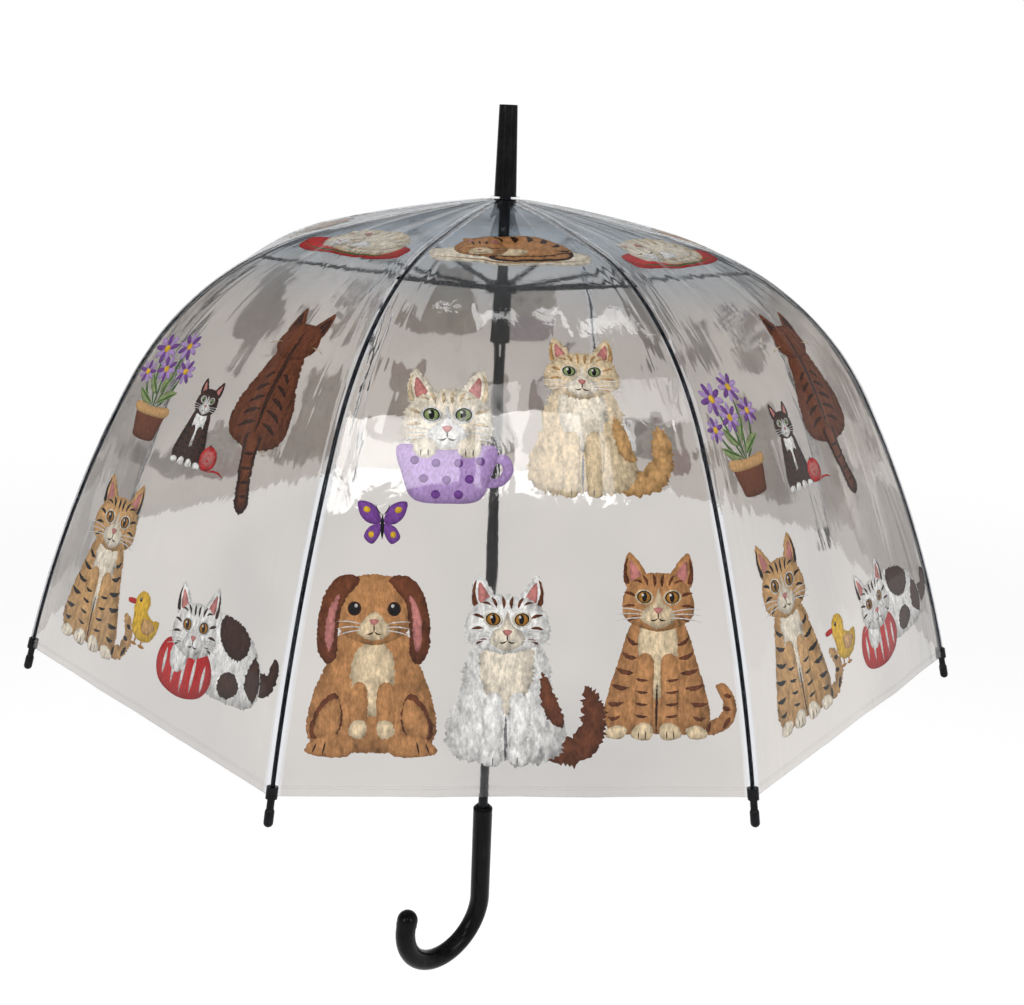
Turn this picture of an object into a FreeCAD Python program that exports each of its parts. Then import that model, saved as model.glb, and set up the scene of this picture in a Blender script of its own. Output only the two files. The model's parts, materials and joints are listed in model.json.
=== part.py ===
import FreeCAD, Part
import math
import os

# Clear bubble umbrella, held open. +Z runs up the shaft, and the origin is on the shaft's
# axis at the middle of the handle's straight grip. Lengths are in mm, angles in degrees.
# Eight ribs hang from the top notch at 22.5, 67.5 ... degrees round the shaft, and the gore
# of the same number lies between a rib and the next one.

doc = FreeCAD.newDocument("bubble_umbrella")

# ---------------------------------------------------------------- driving dimensions
SIZES = {
    # dome line: three tangent arcs from the notch wire down to the hem
    "rib_count": 8,
    "crown_radius": 1400,
    "crown_slope": 6.8,
    "shoulder_radius": 244,
    "shoulder_slope": 13.6,
    "side_radius": 959,
    "side_slope": 59.9,
    "hem_slope": 74.1,
    "bend_slope": 25.8,
    # heights along the shaft
    "notch_height": 671,
    "runner_drop": 77,
    "grip_length": 110,
    # ribs and their hinges
    "rod_diameter": 3,
    "blade_thickness": 1.6,
    "blade_length": 9,
    "rod_setback": 5.5,
    "wire_diameter": 1.2,
    "eye_wall": 0.85,
    "pin_clearance": 0.15,
    "face_clearance": 0.3,
    "film_clearance": 0.5,
    "notch_wire_radius": 9.5,
    # film and tips
    "film_thickness": 0.2,
    "film_inset": 1,
    "seam_gap": 0.3,
    "tip_socket": 12,
    "tip_lap": 6,
    "knob_diameter": 7.8,
    "knob_length": 8,
    "neck_diameter": 5,
    "neck_length": 9,
    "bulb_diameter": 6.4,
    "bulb_length": 7,
    # notch and cap
    "hub_wall": 2,
    "hub_depth": 7,
    "notch_flange_diameter": 24,
    "notch_flange_rise": 1.2,
    "notch_flange_depth": 3.5,
    "slot_clearance": 0.3,
    "cap_diameter": 26,
    "cap_thickness": 1.7,
    "cap_lift": 0.3,
    # shaft and ferrule
    "shaft_diameter": 10,
    "shaft_wall": 0.8,
    "shaft_socket": 40,
    "fit_clearance": 0.05,
    "ferrule_length": 77,
    "ferrule_bore_depth": 42,
    "ferrule_base_diameter": 19.8,
    "ferrule_top_diameter": 16,
    "flute_count": 12,
    "flute_radius": 1.1,
    "flute_land": 5,
    # runner
    "running_clearance": 0.1,
    "sleeve_diameter": 18,
    "sleeve_rise": 7,
    "sleeve_skirt": 49,
    "runner_wire_radius": 12,
    "runner_flange_diameter": 29,
    "runner_flange_thickness": 7,
    # stretchers
    "bar_width": 3.4,
    "bar_height": 3,
    "fork_length": 60,
    "fork_root": 4,
    "fork_clearance": 0.5,
    "ear_thickness": 0.7,
    "ear_height": 2.2,
    "rivet_rise": 0.6,
    "rivet_diameter": 2,
    # catches
    "catch_thickness": 1.2,
    "catch_length": 16,
    "catch_reach": 2.2,
    "catch_root": 3,
    "catch_depth": 2.8,
    "catch_clearance": 0.4,
    "closed_joint_radius": 17,
    # handle
    "handle_diameter": 20.3,
    "handle_bore": 13,
    "collar_length": 9.7,
    "collar_chamfer": 3,
    "hook_radius": 51,
    "hook_sweep": 192,
    "hook_direction": 220,
    "end_cap_diameter": 21.2,
    "end_cap_length": 6,
    "end_cap_spigot": 10,
}

sheet = doc.addObject("Spreadsheet::Sheet", "sizes")
for row, (alias, number) in enumerate(SIZES.items(), start=1):
    sheet.set("A%d" % row, alias)
    sheet.set("B%d" % row, str(number))
    sheet.setAlias("B%d" % row, alias)
doc.recompute()


def size(alias):
    """A driving dimension, read back from the sheet."""
    return float(sheet.get(alias))


X_AXIS = FreeCAD.Vector(1, 0, 0)
Y_AXIS = FreeCAD.Vector(0, 1, 0)
Z_AXIS = FreeCAD.Vector(0, 0, 1)
subparts = []


def bind(item, **expressions):
    """Tie properties of a document object to expressions on the sheet."""
    for name, expression in expressions.items():
        item.setExpression(name.replace("__", "."), expression)
    return item


def put(item, position, rotation=None):
    """Place a document object."""
    item.Placement = FreeCAD.Placement(position, rotation or FreeCAD.Rotation())
    return item


def at(radius, height):
    """A point of the vertical plane through the shaft and local +X."""
    return FreeCAD.Vector(radius, 0, height)


def cylinder(name, radius, height, position, axis=Z_AXIS):
    """A cylinder with its base centred on position, along axis."""
    item = bind(doc.addObject("Part::Cylinder", name), Radius=radius, Height=height)
    return put(item, position, FreeCAD.Rotation(Z_AXIS, axis))


def box(name, length, width, height, position, rotation=None):
    """A box that starts at position along its own X, and is centred on it in Y and Z."""
    item = bind(doc.addObject("Part::Box", name), Length=length, Width=width, Height=height)
    doc.recompute([item])
    turn = rotation or FreeCAD.Rotation()
    middle = FreeCAD.Vector(0, item.Width.Value / 2, item.Height.Value / 2)
    return put(item, position - turn.multVec(middle), turn)


def join(name, pieces):
    """One solid from several that overlap."""
    item = doc.addObject("Part::MultiFuse", name)
    item.Shapes = pieces
    item.Refine = True
    return item


def remove(name, base, tools):
    """The base with the tools cut out of it."""
    tool = tools[0] if len(tools) == 1 else join(name + "_tools", tools)
    item = doc.addObject("Part::Cut", name)
    item.Base = base
    item.Tool = tool
    return item


def subpart(item, label, placement=None):
    """Give a finished piece its label and its place."""
    item.Label = label
    if placement is not None:
        item.Placement = placement
    subparts.append(item)
    return item


def turned(azimuth):
    """The placement that carries a piece from the local plane round the shaft."""
    return FreeCAD.Placement(FreeCAD.Vector(), FreeCAD.Rotation(Z_AXIS, azimuth))


# ---------------------------------------------------------------- the dome line
notch_z = size("notch_height")
rib_step = 360.0 / size("rib_count")
rod_radius = size("rod_diameter") / 2
ARCS = [
    ("crown_radius", "crown_slope", "shoulder_slope"),
    ("shoulder_radius", "shoulder_slope", "side_slope"),
    ("side_radius", "side_slope", "hem_slope"),
]


def tangent(slope):
    """The way down the dome line where it falls at this slope."""
    angle = math.radians(slope)
    return at(math.cos(angle), -math.sin(angle))


def outward(slope):
    """The outward normal of the dome line where it falls at this slope."""
    angle = math.radians(slope)
    return at(math.sin(angle), math.cos(angle))


def dome_arcs():
    """Each arc of the dome line as (centre, radius, first slope, last slope)."""
    point = at(size("notch_wire_radius"), notch_z)
    found = []
    for radius_name, first_name, last_name in ARCS:
        radius, first, last = size(radius_name), size(first_name), size(last_name)
        centre = point - outward(first) * radius
        found.append((centre, radius, first, last))
        point = centre + outward(last) * radius
    return found


def stretch(start, end):
    """The dome arcs between two slopes."""
    kept = []
    for centre, radius, first, last in dome_arcs():
        low, high = max(first, start), min(last, end)
        if high > low:
            kept.append((centre, radius, low, high))
    return kept


def dome_point(slope, offset=0.0):
    """The point of the dome line at a slope, moved out along its normal."""
    for centre, radius, first, last in dome_arcs():
        if first <= slope <= last:
            return centre + outward(slope) * (radius + offset)
    raise ValueError("the slope lies outside the dome line")


def slope_after(slope, length):
    """The slope reached by going a length down the dome line, within one arc."""
    for centre, radius, first, last in dome_arcs():
        if first <= slope < last:
            return slope + math.degrees(length / radius)
    raise ValueError("the slope lies outside the dome line")


notch_pivot = at(size("notch_wire_radius"), notch_z)
rib_joint = dome_point(size("bend_slope"))
rib_end = dome_point(size("hem_slope"))
runner_pivot = at(size("runner_wire_radius"), notch_z - size("runner_drop"))
rod_start = slope_after(size("crown_slope"), size("rod_setback"))
joint_gap = rod_radius + size("face_clearance")
upper_rod_end = slope_after(size("bend_slope"), -joint_gap)
film_top = slope_after(size("crown_slope"), size("film_inset"))


def runner_travel():
    """How far the runner slides down to bring every rib joint in beside the shaft."""
    closed = size("closed_joint_radius")
    rib_length = (rib_joint - notch_pivot).Length
    stretcher_length = (rib_joint - runner_pivot).Length
    joint_drop = math.sqrt(rib_length**2 - (closed - notch_pivot.x) ** 2)
    reach = math.sqrt(stretcher_length**2 - (closed - runner_pivot.x) ** 2)
    return joint_drop + reach - size("runner_drop")


# ---------------------------------------------------------------- shaft, notch and ferrule
handle_top = size("grip_length") / 2
shaft_foot = handle_top - size("shaft_socket")
cap_base = notch_z + rod_radius + size("film_clearance") + size("film_thickness")
ferrule_base = cap_base + size("cap_thickness")
runner_foot = runner_pivot.z - size("sleeve_skirt")
runner_head_closed = runner_pivot.z + size("sleeve_rise") - runner_travel()
shaft_bore = "sizes.shaft_diameter / 2 + sizes.fit_clearance"


def catch_slot(name, start):
    """The window in the shaft that a catch's tooth comes through, towards local +X."""
    slot = box(
        name,
        "sizes.shaft_diameter",
        "sizes.catch_thickness + 2 * sizes.catch_clearance",
        "sizes.catch_length - sizes.catch_root + sizes.face_clearance + 3 * sizes.catch_clearance",
        FreeCAD.Vector(),
    )
    slot.Placement = FreeCAD.Placement(
        FreeCAD.Vector(0, -slot.Width.Value / 2, start), FreeCAD.Rotation()
    )
    return slot


top_catch_head = runner_foot - size("face_clearance")
bottom_catch_foot = runner_head_closed + size("face_clearance")
top_slot_start = top_catch_head - size("catch_length") + size("catch_root") - size("face_clearance")
bottom_slot_start = bottom_catch_foot - 3 * size("catch_clearance")

shaft_outer = cylinder(
    "shaft_outer", "sizes.shaft_diameter / 2", "sizes.shaft_wall", at(0, shaft_foot)
)
shaft_inner = cylinder(
    "shaft_inner",
    "sizes.shaft_diameter / 2 - sizes.shaft_wall",
    "sizes.shaft_wall",
    at(0, shaft_foot - size("shaft_wall")),
)
shaft_head = ferrule_base + size("ferrule_bore_depth") - size("face_clearance")
shaft_length = shaft_head - shaft_foot
shaft_outer.setExpression("Height", "%.4f" % shaft_length)
shaft_inner.setExpression("Height", "%.4f" % (shaft_length + 2 * size("shaft_wall")))
slots = [catch_slot("top_slot", top_slot_start), catch_slot("bottom_slot", bottom_slot_start)]
shaft_tube = remove("shaft", shaft_outer, [shaft_inner] + slots)
subpart(shaft_tube, "shaft_tube", turned(-90))


def catch(label, root_end, tooth_end):
    """A spring-steel tooth: its root is held inside the shaft, its tooth stands out of it."""
    up = 1 if tooth_end > root_end else -1
    inner = size("shaft_diameter") / 2 - size("shaft_wall") - size("face_clearance")
    reach = size("shaft_diameter") / 2 + size("catch_reach")
    back = inner - size("catch_depth")
    side = Y_AXIS * (size("catch_thickness") / 2)
    outline = [
        at(back, root_end) - side,
        at(inner, root_end) - side,
        at(inner, root_end + up * size("catch_root")) - side,
        at(reach, tooth_end - up * size("catch_thickness")) - side,
        at(reach, tooth_end) - side,
        at(back, tooth_end) - side,
    ]
    face = Part.Face(Part.makePolygon(outline + outline[:1]))
    item = doc.addObject("Part::Feature", label)
    item.Shape = face.extrude(side * 2)
    return subpart(item, label, turned(-90))


catch("top_catch", top_catch_head - size("catch_length"), top_catch_head)
catch("bottom_catch", bottom_catch_foot + size("catch_length"), bottom_catch_foot)


def radial_slots(name, wire_radius, outer_radius, drop, rise, height):
    """The slots round a flange that the blades of the ribs or stretchers swing in."""
    inner = size(wire_radius) - size("wire_diameter") / 2 - size("pin_clearance")
    inner = inner - size("eye_wall") - size("slot_clearance")
    tools = []
    for number in range(int(size("rib_count"))):
        slot = box(
            "%s_%d" % (name, number + 1),
            "sizes.%s / 2 + sizes.slot_clearance - %.4f" % (outer_radius, inner),
            "sizes.blade_thickness + 2 * sizes.slot_clearance",
            "%.4f + 2 * sizes.slot_clearance" % (drop + rise),
            FreeCAD.Vector(),
        )
        azimuth = rib_step * (number + 0.5)
        foot = height - drop - size("slot_clearance")
        local = FreeCAD.Placement(
            FreeCAD.Vector(inner, -slot.Width.Value / 2, foot), FreeCAD.Rotation()
        )
        slot.Placement = turned(azimuth).multiply(local)
        tools.append(slot)
    return tools


def wire_ring(label, radius, height):
    """The wire ring that the blades of the ribs or stretchers hang on."""
    ring = doc.addObject("Part::Torus", label + "_ring")
    bind(ring, Radius1="sizes." + radius, Radius2="sizes.wire_diameter / 2")
    return subpart(ring, label, FreeCAD.Placement(at(0, height), FreeCAD.Rotation()))


def wire_groove(name, radius, height):
    """The groove in a flange that its wire ring lies in."""
    groove = doc.addObject("Part::Torus", name)
    bind(groove, Radius1="sizes." + radius, Radius2="sizes.wire_diameter / 2 + sizes.fit_clearance")
    return put(groove, at(0, height))


hub_foot = at(0, notch_z - size("hub_depth"))
hub_radius = "sizes.shaft_diameter / 2 + sizes.hub_wall"
notch_hub = cylinder("notch_hub", hub_radius, "%.4f" % (cap_base - hub_foot.z), hub_foot)
notch_flange = cylinder(
    "notch_flange",
    "sizes.notch_flange_diameter / 2",
    "sizes.notch_flange_depth + sizes.notch_flange_rise",
    at(0, notch_z - size("notch_flange_depth")),
)
notch_bore = cylinder("notch_bore", shaft_bore, "sizes.hub_depth * 3", hub_foot - Z_AXIS * size("hub_wall"))
notch_slots = radial_slots(
    "notch_slot",
    "notch_wire_radius",
    "notch_flange_diameter",
    size("notch_flange_depth"),
    size("notch_flange_rise"),
    notch_z,
)
notch_groove = wire_groove("notch_groove", "notch_wire_radius", notch_z)
notch_body = join("notch_body", [notch_hub, notch_flange])
subpart(remove("notch", notch_body, [notch_bore, notch_groove] + notch_slots), "top_notch")
wire_ring("notch_wire", "notch_wire_radius", notch_z)

cap_disc = cylinder("cap_disc", "sizes.cap_diameter / 2", "sizes.cap_thickness", at(0, cap_base))
cap_bore_foot = at(0, cap_base - size("cap_thickness"))
cap_bore = cylinder("cap_bore", shaft_bore, "sizes.cap_thickness * 3", cap_bore_foot)
subpart(remove("cap", cap_disc, [cap_bore]), "canopy_cap")

ferrule_cone = bind(
    doc.addObject("Part::Cone", "ferrule_cone"),
    Radius1="sizes.ferrule_base_diameter / 2",
    Radius2="sizes.ferrule_top_diameter / 2",
    Height="sizes.ferrule_length",
)
put(ferrule_cone, at(0, ferrule_base))
ferrule_bore = cylinder(
    "ferrule_bore",
    shaft_bore,
    "sizes.ferrule_bore_depth + sizes.face_clearance",
    at(0, ferrule_base - size("face_clearance")),
)
flutes = []
flute_length = size("ferrule_length") - 2 * size("flute_land")
lean = (size("ferrule_base_diameter") - size("ferrule_top_diameter")) / 2 / size("ferrule_length")
for number in range(int(size("flute_count"))):
    foot_radius = size("ferrule_base_diameter") / 2 - lean * size("flute_land")
    foot = at(foot_radius + 0.6 * size("flute_radius"), ferrule_base + size("flute_land"))
    flute = cylinder(
        "flute_%d" % (number + 1), "sizes.flute_radius", "%.4f" % flute_length, foot, at(-lean, 1)
    )
    flute.Placement = turned(number * 360.0 / size("flute_count")).multiply(flute.Placement)
    flutes.append(flute)
subpart(remove("ferrule_fluted", ferrule_cone, [ferrule_bore] + flutes), "ferrule")

# ---------------------------------------------------------------- runner
sleeve_foot = at(0, runner_foot)
sleeve_length = "sizes.sleeve_rise + sizes.sleeve_skirt"
flange_foot = runner_pivot.z - size("runner_flange_thickness") / 2
sleeve = cylinder("sleeve", "sizes.sleeve_diameter / 2", sleeve_length, sleeve_foot)
runner_flange = cylinder(
    "runner_flange",
    "sizes.runner_flange_diameter / 2",
    "sizes.runner_flange_thickness",
    at(0, flange_foot),
)
runner_bore = cylinder(
    "runner_bore",
    "sizes.shaft_diameter / 2 + sizes.running_clearance",
    sleeve_length + " + 2 * sizes.face_clearance",
    sleeve_foot - Z_AXIS * size("face_clearance"),
)
keyway = box(
    "keyway",
    "sizes.shaft_diameter / 2 + sizes.catch_reach + sizes.catch_clearance",
    "sizes.catch_thickness + 2 * sizes.catch_clearance",
    sleeve_length + " + 2 * sizes.face_clearance",
    FreeCAD.Vector(),
)
keyway_foot = runner_foot - size("face_clearance")
keyway_start = FreeCAD.Vector(0, -keyway.Width.Value / 2, keyway_foot)
keyway.Placement = turned(-90).multiply(FreeCAD.Placement(keyway_start, FreeCAD.Rotation()))
runner_slots = radial_slots(
    "runner_slot",
    "runner_wire_radius",
    "runner_flange_diameter",
    size("runner_flange_thickness") / 2,
    size("runner_flange_thickness") / 2,
    runner_pivot.z,
)
runner_groove = wire_groove("runner_groove", "runner_wire_radius", runner_pivot.z)
runner_body = join("runner_body", [sleeve, runner_flange])
runner_tools = [runner_bore, keyway, runner_groove] + runner_slots
subpart(remove("runner_slotted", runner_body, runner_tools), "runner")
wire_ring("runner_wire", "runner_wire_radius", runner_pivot.z)

# ---------------------------------------------------------------- ribs, stretchers and tips
eye_radius = "sizes.wire_diameter / 2 + sizes.pin_clearance + sizes.eye_wall"
eye_hole = "sizes.wire_diameter / 2 + sizes.pin_clearance"


def blade(name, pivot, rotation, height):
    """The flat end of a rib or stretcher, with its eye round the wire: (solids, hole)."""
    half = Y_AXIS * (size("blade_thickness") / 2)
    eye = cylinder(name + "_eye", eye_radius, "sizes.blade_thickness", pivot + half, -Y_AXIS)
    flat = box(
        name + "_flat", "sizes.blade_length", "sizes.blade_thickness", height, pivot, rotation
    )
    through = "sizes.blade_thickness * 3"
    hole = cylinder(name + "_hole", eye_hole, through, pivot + half * 3, -Y_AXIS)
    return [eye, flat], hole


def rod(name, start, end):
    """A round rod along the dome line between two slopes, one ring segment per arc."""
    pieces = []
    for number, (centre, radius, first, last) in enumerate(stretch(start, end), start=1):
        piece = doc.addObject("Part::Torus", "%s_arc_%d" % (name, number))
        bind(piece, Radius2="sizes.rod_diameter / 2")
        piece.Radius1 = radius
        piece.Angle3 = last - first
        frame = FreeCAD.Rotation(outward(first), tangent(first), Y_AXIS, "ZXY")
        pieces.append(put(piece, centre, frame))
    return pieces


def rib_upper(number, place):
    """The rib from the notch wire to the joint where its stretcher carries it."""
    name = "rib_upper_%d" % number
    along = FreeCAD.Rotation(X_AXIS, tangent(size("crown_slope")))
    solids, hole = blade(name, notch_pivot, along, "sizes.rod_diameter")
    solids = solids + rod(name, rod_start, upper_rod_end)
    subpart(remove(name + "_drilled", join(name + "_body", solids), [hole]), name, place)


def rib_lower(number, place):
    """The rib from the stretcher's joint down into the tip."""
    name = "rib_lower_%d" % number
    ball = bind(doc.addObject("Part::Sphere", name + "_ball"), Radius="sizes.rod_diameter / 2")
    put(ball, rib_joint)
    end = cylinder(
        name + "_end",
        "sizes.rod_diameter / 2",
        "sizes.tip_socket - sizes.tip_lap",
        rib_end,
        tangent(size("hem_slope")),
    )
    solids = [ball] + rod(name, size("bend_slope"), size("hem_slope")) + [end]
    subpart(join(name + "_body", solids), name, place)


def tip_start():
    """Where a tip begins: its knob laps up the rib past the corners of the film."""
    return rib_end - tangent(size("hem_slope")) * size("tip_lap")


def rib_tip(number, place):
    """The plastic tip that the gores' corners hang on: a knob, a neck and a round end."""
    name = "rib_tip_%d" % number
    way = tangent(size("hem_slope"))
    start = tip_start()
    neck_start = start + way * size("knob_length")
    bulb_start = neck_start + way * size("neck_length")
    bulb_end = bulb_start + way * size("bulb_length")
    knob = cylinder(name + "_knob", "sizes.knob_diameter / 2", "sizes.knob_length", start, way)
    overlap = size("bulb_diameter") / 2
    neck_height = "sizes.neck_length + %.4f" % overlap
    neck = cylinder(name + "_neck", "sizes.neck_diameter / 2", neck_height, neck_start, way)
    bulb = cylinder(name + "_bulb", "sizes.bulb_diameter / 2", "sizes.bulb_length", bulb_start, way)
    ends = []
    for end_name, centre in (("first", bulb_start), ("last", bulb_end)):
        ball = doc.addObject("Part::Sphere", "%s_%s_ball" % (name, end_name))
        ends.append(put(bind(ball, Radius="sizes.bulb_diameter / 2"), centre))
    socket = cylinder(
        name + "_socket",
        "sizes.rod_diameter / 2 + sizes.fit_clearance",
        "sizes.tip_socket + sizes.fit_clearance",
        start,
        way,
    )
    body = join(name + "_body", [knob, neck, bulb] + ends)
    subpart(remove(name + "_bored", body, [socket]), name, place)


def stretcher(number, place):
    """The strut from the runner to the rib: an eyed blade, a bar and a fork round the rib."""
    name = "stretcher_%d" % number
    span = rib_joint - runner_pivot
    length = span.Length
    along = FreeCAD.Rotation(X_AXIS, span)
    way = span.normalize()
    fork_start = length - size("fork_length")
    inside = size("rod_diameter") / 2 + size("fork_clearance")
    outside = inside + size("ear_thickness")
    solids, hole = blade(name, runner_pivot, along, "sizes.bar_height")
    bar_start = runner_pivot + way * size("rod_setback")
    bar_length = "%.4f - sizes.rod_setback" % fork_start
    solids.append(
        box(name + "_bar", bar_length, "sizes.bar_width", "sizes.bar_height", bar_start, along)
    )
    root_width = "%.4f" % (2 * outside)
    root_start = runner_pivot + way * (fork_start - size("fork_root"))
    root = box(
        name + "_root", "sizes.fork_root", root_width, "sizes.ear_height", root_start, along
    )
    solids.append(root)
    for side_name, side in (("left", 1), ("right", -1)):
        ear_start = root_start + Y_AXIS * (side * (inside + outside) / 2)
        ear = box(
            "%s_%s_ear" % (name, side_name),
            "sizes.fork_root + sizes.fork_length",
            "sizes.ear_thickness",
            "sizes.ear_height",
            ear_start,
            along,
        )
        face = rib_joint + Y_AXIS * (side * inside)
        nose = cylinder(
            "%s_%s_nose" % (name, side_name),
            "sizes.ear_height / 2",
            "sizes.ear_thickness",
            face,
            Y_AXIS * side,
        )
        head = cylinder(
            "%s_%s_rivet" % (name, side_name),
            "sizes.rivet_diameter / 2",
            "sizes.ear_thickness + sizes.rivet_rise",
            face,
            Y_AXIS * side,
        )
        solids += [ear, nose, head]
    subpart(remove(name + "_drilled", join(name + "_body", solids), [hole]), name, place)


# ---------------------------------------------------------------- gores
def film_outline(name, start, end):
    """A sketch, in a rib's plane, of the film's thin section between two slopes."""
    outline = doc.addObject("Sketcher::SketchObject", name)
    turn = FreeCAD.Rotation(Z_AXIS, -rib_step / 2).multiply(FreeCAD.Rotation(X_AXIS, 90))
    put(outline, FreeCAD.Vector(), turn)
    inner = rod_radius + size("film_clearance")
    outer = inner + size("film_thickness")
    normal = Z_AXIS
    for centre, radius, first, last in stretch(start, end):
        middle = FreeCAD.Vector(centre.x, centre.z, 0)
        for offset in (inner, outer):
            circle = Part.Circle(middle, normal, radius + offset)
            arc = Part.ArcOfCircle(circle, math.radians(90 - last), math.radians(90 - first))
            outline.addGeometry(arc, False)
    for slope in (start, end):
        near, far = dome_point(slope, inner), dome_point(slope, outer)
        ends = (FreeCAD.Vector(near.x, near.z, 0), FreeCAD.Vector(far.x, far.z, 0))
        outline.addGeometry(Part.LineSegment(*ends), False)
    return outline


def corner_cut(name, side):
    """The room that a gore's lower corner leaves for the knob of the tip beside it."""
    way = tangent(size("hem_slope"))
    cut = cylinder(
        name,
        "sizes.knob_diameter / 2 + sizes.face_clearance",
        "sizes.tip_lap + 2 * sizes.knob_length",
        tip_start() - way * size("face_clearance"),
        way,
    )
    cut.Placement = turned(side * rib_step / 2).multiply(cut.Placement)
    return cut


def gore(label, start, end, azimuth):
    """One film panel: the section drawn straight across, and trimmed to its sector."""
    outline = film_outline(label + "_outline", start, end)
    sheet_of_film = doc.addObject("Part::Extrusion", label + "_sheet")
    sheet_of_film.Base = outline
    sheet_of_film.DirMode = "Custom"
    sheet_of_film.Dir = Y_AXIS
    sheet_of_film.LengthFwd = 2 * rib_end.x
    sheet_of_film.Solid = True
    sector = doc.addObject("Part::Cylinder", label + "_sector")
    bind(sector, Angle="360 / sizes.rib_count")
    sector.Radius = 2 * rib_end.x
    sector.Height = 2 * notch_z
    setback = size("seam_gap") / 2 / math.sin(math.radians(rib_step / 2))
    put(sector, at(setback, 0), FreeCAD.Rotation(Z_AXIS, -rib_step / 2))
    trimmed = doc.addObject("Part::Common", label + "_trimmed")
    trimmed.Base = sheet_of_film
    trimmed.Tool = sector
    if end == size("hem_slope"):
        corners = [corner_cut(label + "_first", -1), corner_cut(label + "_last", 1)]
        trimmed = remove(label + "_notched", trimmed, corners)
    subpart(trimmed, label, turned(azimuth))


half_seam = size("seam_gap") / 2
upper_film_end = slope_after(size("bend_slope"), -half_seam)
lower_film_start = slope_after(size("bend_slope"), half_seam)
for number in range(1, int(size("rib_count")) + 1):
    rib_place = turned(rib_step * (number - 0.5))
    rib_upper(number, rib_place)
    rib_lower(number, rib_place)
    rib_tip(number, rib_place)
    stretcher(number, rib_place)
    gore("gore_upper_%d" % number, film_top, upper_film_end, rib_step * number)
    gore("gore_lower_%d" % number, lower_film_start, size("hem_slope"), rib_step * number)

# ---------------------------------------------------------------- handle
grip_foot = at(0, -size("grip_length") / 2)
collar_foot = at(0, handle_top - size("collar_length"))
hook_centre = at(size("hook_radius"), grip_foot.z)
hook_frame = FreeCAD.Rotation(-X_AXIS, -Z_AXIS, -Y_AXIS, "ZXY")
hook_turn = turned(size("hook_direction"))


def crook(name, radius, top):
    """A straight stem from the hook up to a height, and the hook, of one radius."""
    stem = cylinder(name + "_stem", radius, "%.4f" % (top - grip_foot.z), grip_foot)
    bend = bind(
        doc.addObject("Part::Torus", name + "_bend"),
        Radius1="sizes.hook_radius",
        Radius2=radius,
        Angle3="sizes.hook_sweep",
    )
    return [stem, put(bend, hook_centre, hook_frame)]


crook_outside = join("crook_outside", crook("outer", "sizes.handle_diameter / 2", collar_foot.z))
crook_inside = crook("inner", "sizes.handle_bore / 2", shaft_foot)
socket_foot = at(0, shaft_foot - size("face_clearance"))
handle_bore = cylinder("handle_socket", shaft_bore, "sizes.grip_length", socket_foot)
subpart(remove("crook", crook_outside, crook_inside + [handle_bore]), "handle", hook_turn)

collar_outer = cylinder(
    "collar_outer", "sizes.handle_diameter / 2", "sizes.collar_length", collar_foot
)
collar_bore = cylinder(
    "collar_bore",
    shaft_bore,
    "sizes.collar_length + 2 * sizes.face_clearance",
    collar_foot - Z_AXIS * size("face_clearance"),
)
collar_ring = remove("collar_ring", collar_outer, [collar_bore])
doc.recompute()


def rim_edges(shape, height, radius):
    """The numbers of a shape's circular edges of one radius at one height."""
    numbers = []
    for number, edge in enumerate(shape.Edges, start=1):
        box_of_edge = edge.BoundBox
        flat = box_of_edge.ZLength < 0.01 and abs(box_of_edge.ZMin - height) < 0.01
        if flat and abs(box_of_edge.XLength / 2 - radius) < 0.01:
            numbers.append(number)
    return numbers


collar = doc.addObject("Part::Chamfer", "collar_chamfered")
collar.Base = collar_ring
chamfer = size("collar_chamfer")
edges = rim_edges(collar_ring.Shape, handle_top, size("handle_diameter") / 2)
collar.Edges = [(number, chamfer, chamfer) for number in edges]
subpart(collar, "handle_collar")

# The end cap closes the hook's open end: its spigot goes in, and its head is a little proud.
sweep_end = math.radians(size("hook_sweep"))
hook_end = hook_centre + at(-math.cos(sweep_end), -math.sin(sweep_end)) * size("hook_radius")
hook_way = at(math.sin(sweep_end), -math.cos(sweep_end))
cap_head = cylinder(
    "end_cap_head", "sizes.end_cap_diameter / 2", "sizes.end_cap_length", hook_end, hook_way
)
cap_dome = doc.addObject("Part::Sphere", "end_cap_dome")
bind(cap_dome, Radius="sizes.end_cap_diameter / 2")
dome_centre = hook_end + hook_way * size("end_cap_length")
put(cap_dome, dome_centre, FreeCAD.Rotation(Z_AXIS, hook_way))
cap_dome.Angle1 = 0
spigot_start = hook_end - hook_way * size("end_cap_spigot")
cap_spigot = cylinder(
    "end_cap_spigot",
    "sizes.handle_bore / 2 - sizes.face_clearance - %.4f"
    % (size("hook_radius") * (1 - math.cos(size("end_cap_spigot") / size("hook_radius")))),
    "sizes.end_cap_spigot + sizes.face_clearance",
    spigot_start,
    hook_way,
)
subpart(join("end_cap", [cap_head, cap_dome, cap_spigot]), "handle_end_cap", hook_turn)

# ---------------------------------------------------------------- check and write
doc.recompute()
for item in doc.Objects:
    if "Invalid" in item.State or "Error" in item.State:
        raise RuntimeError("%s did not rebuild: %s" % (item.Label, item.State))
for item in subparts:
    if item.Shape.isNull() or not item.Shape.isValid():
        raise RuntimeError("%s has no valid shape" % item.Label)
    if len(item.Shape.Solids) != 1:
        raise RuntimeError("%s has %d solids" % (item.Label, len(item.Shape.Solids)))

os.makedirs("parts", exist_ok=True)
for item in subparts:
    item.Shape.exportStep(os.path.join("parts", item.Label + ".step"))
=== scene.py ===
import json
import math
import bmesh
import bpy
import numpy as np
from mathutils import Matrix, Vector, geometry, noise


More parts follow.
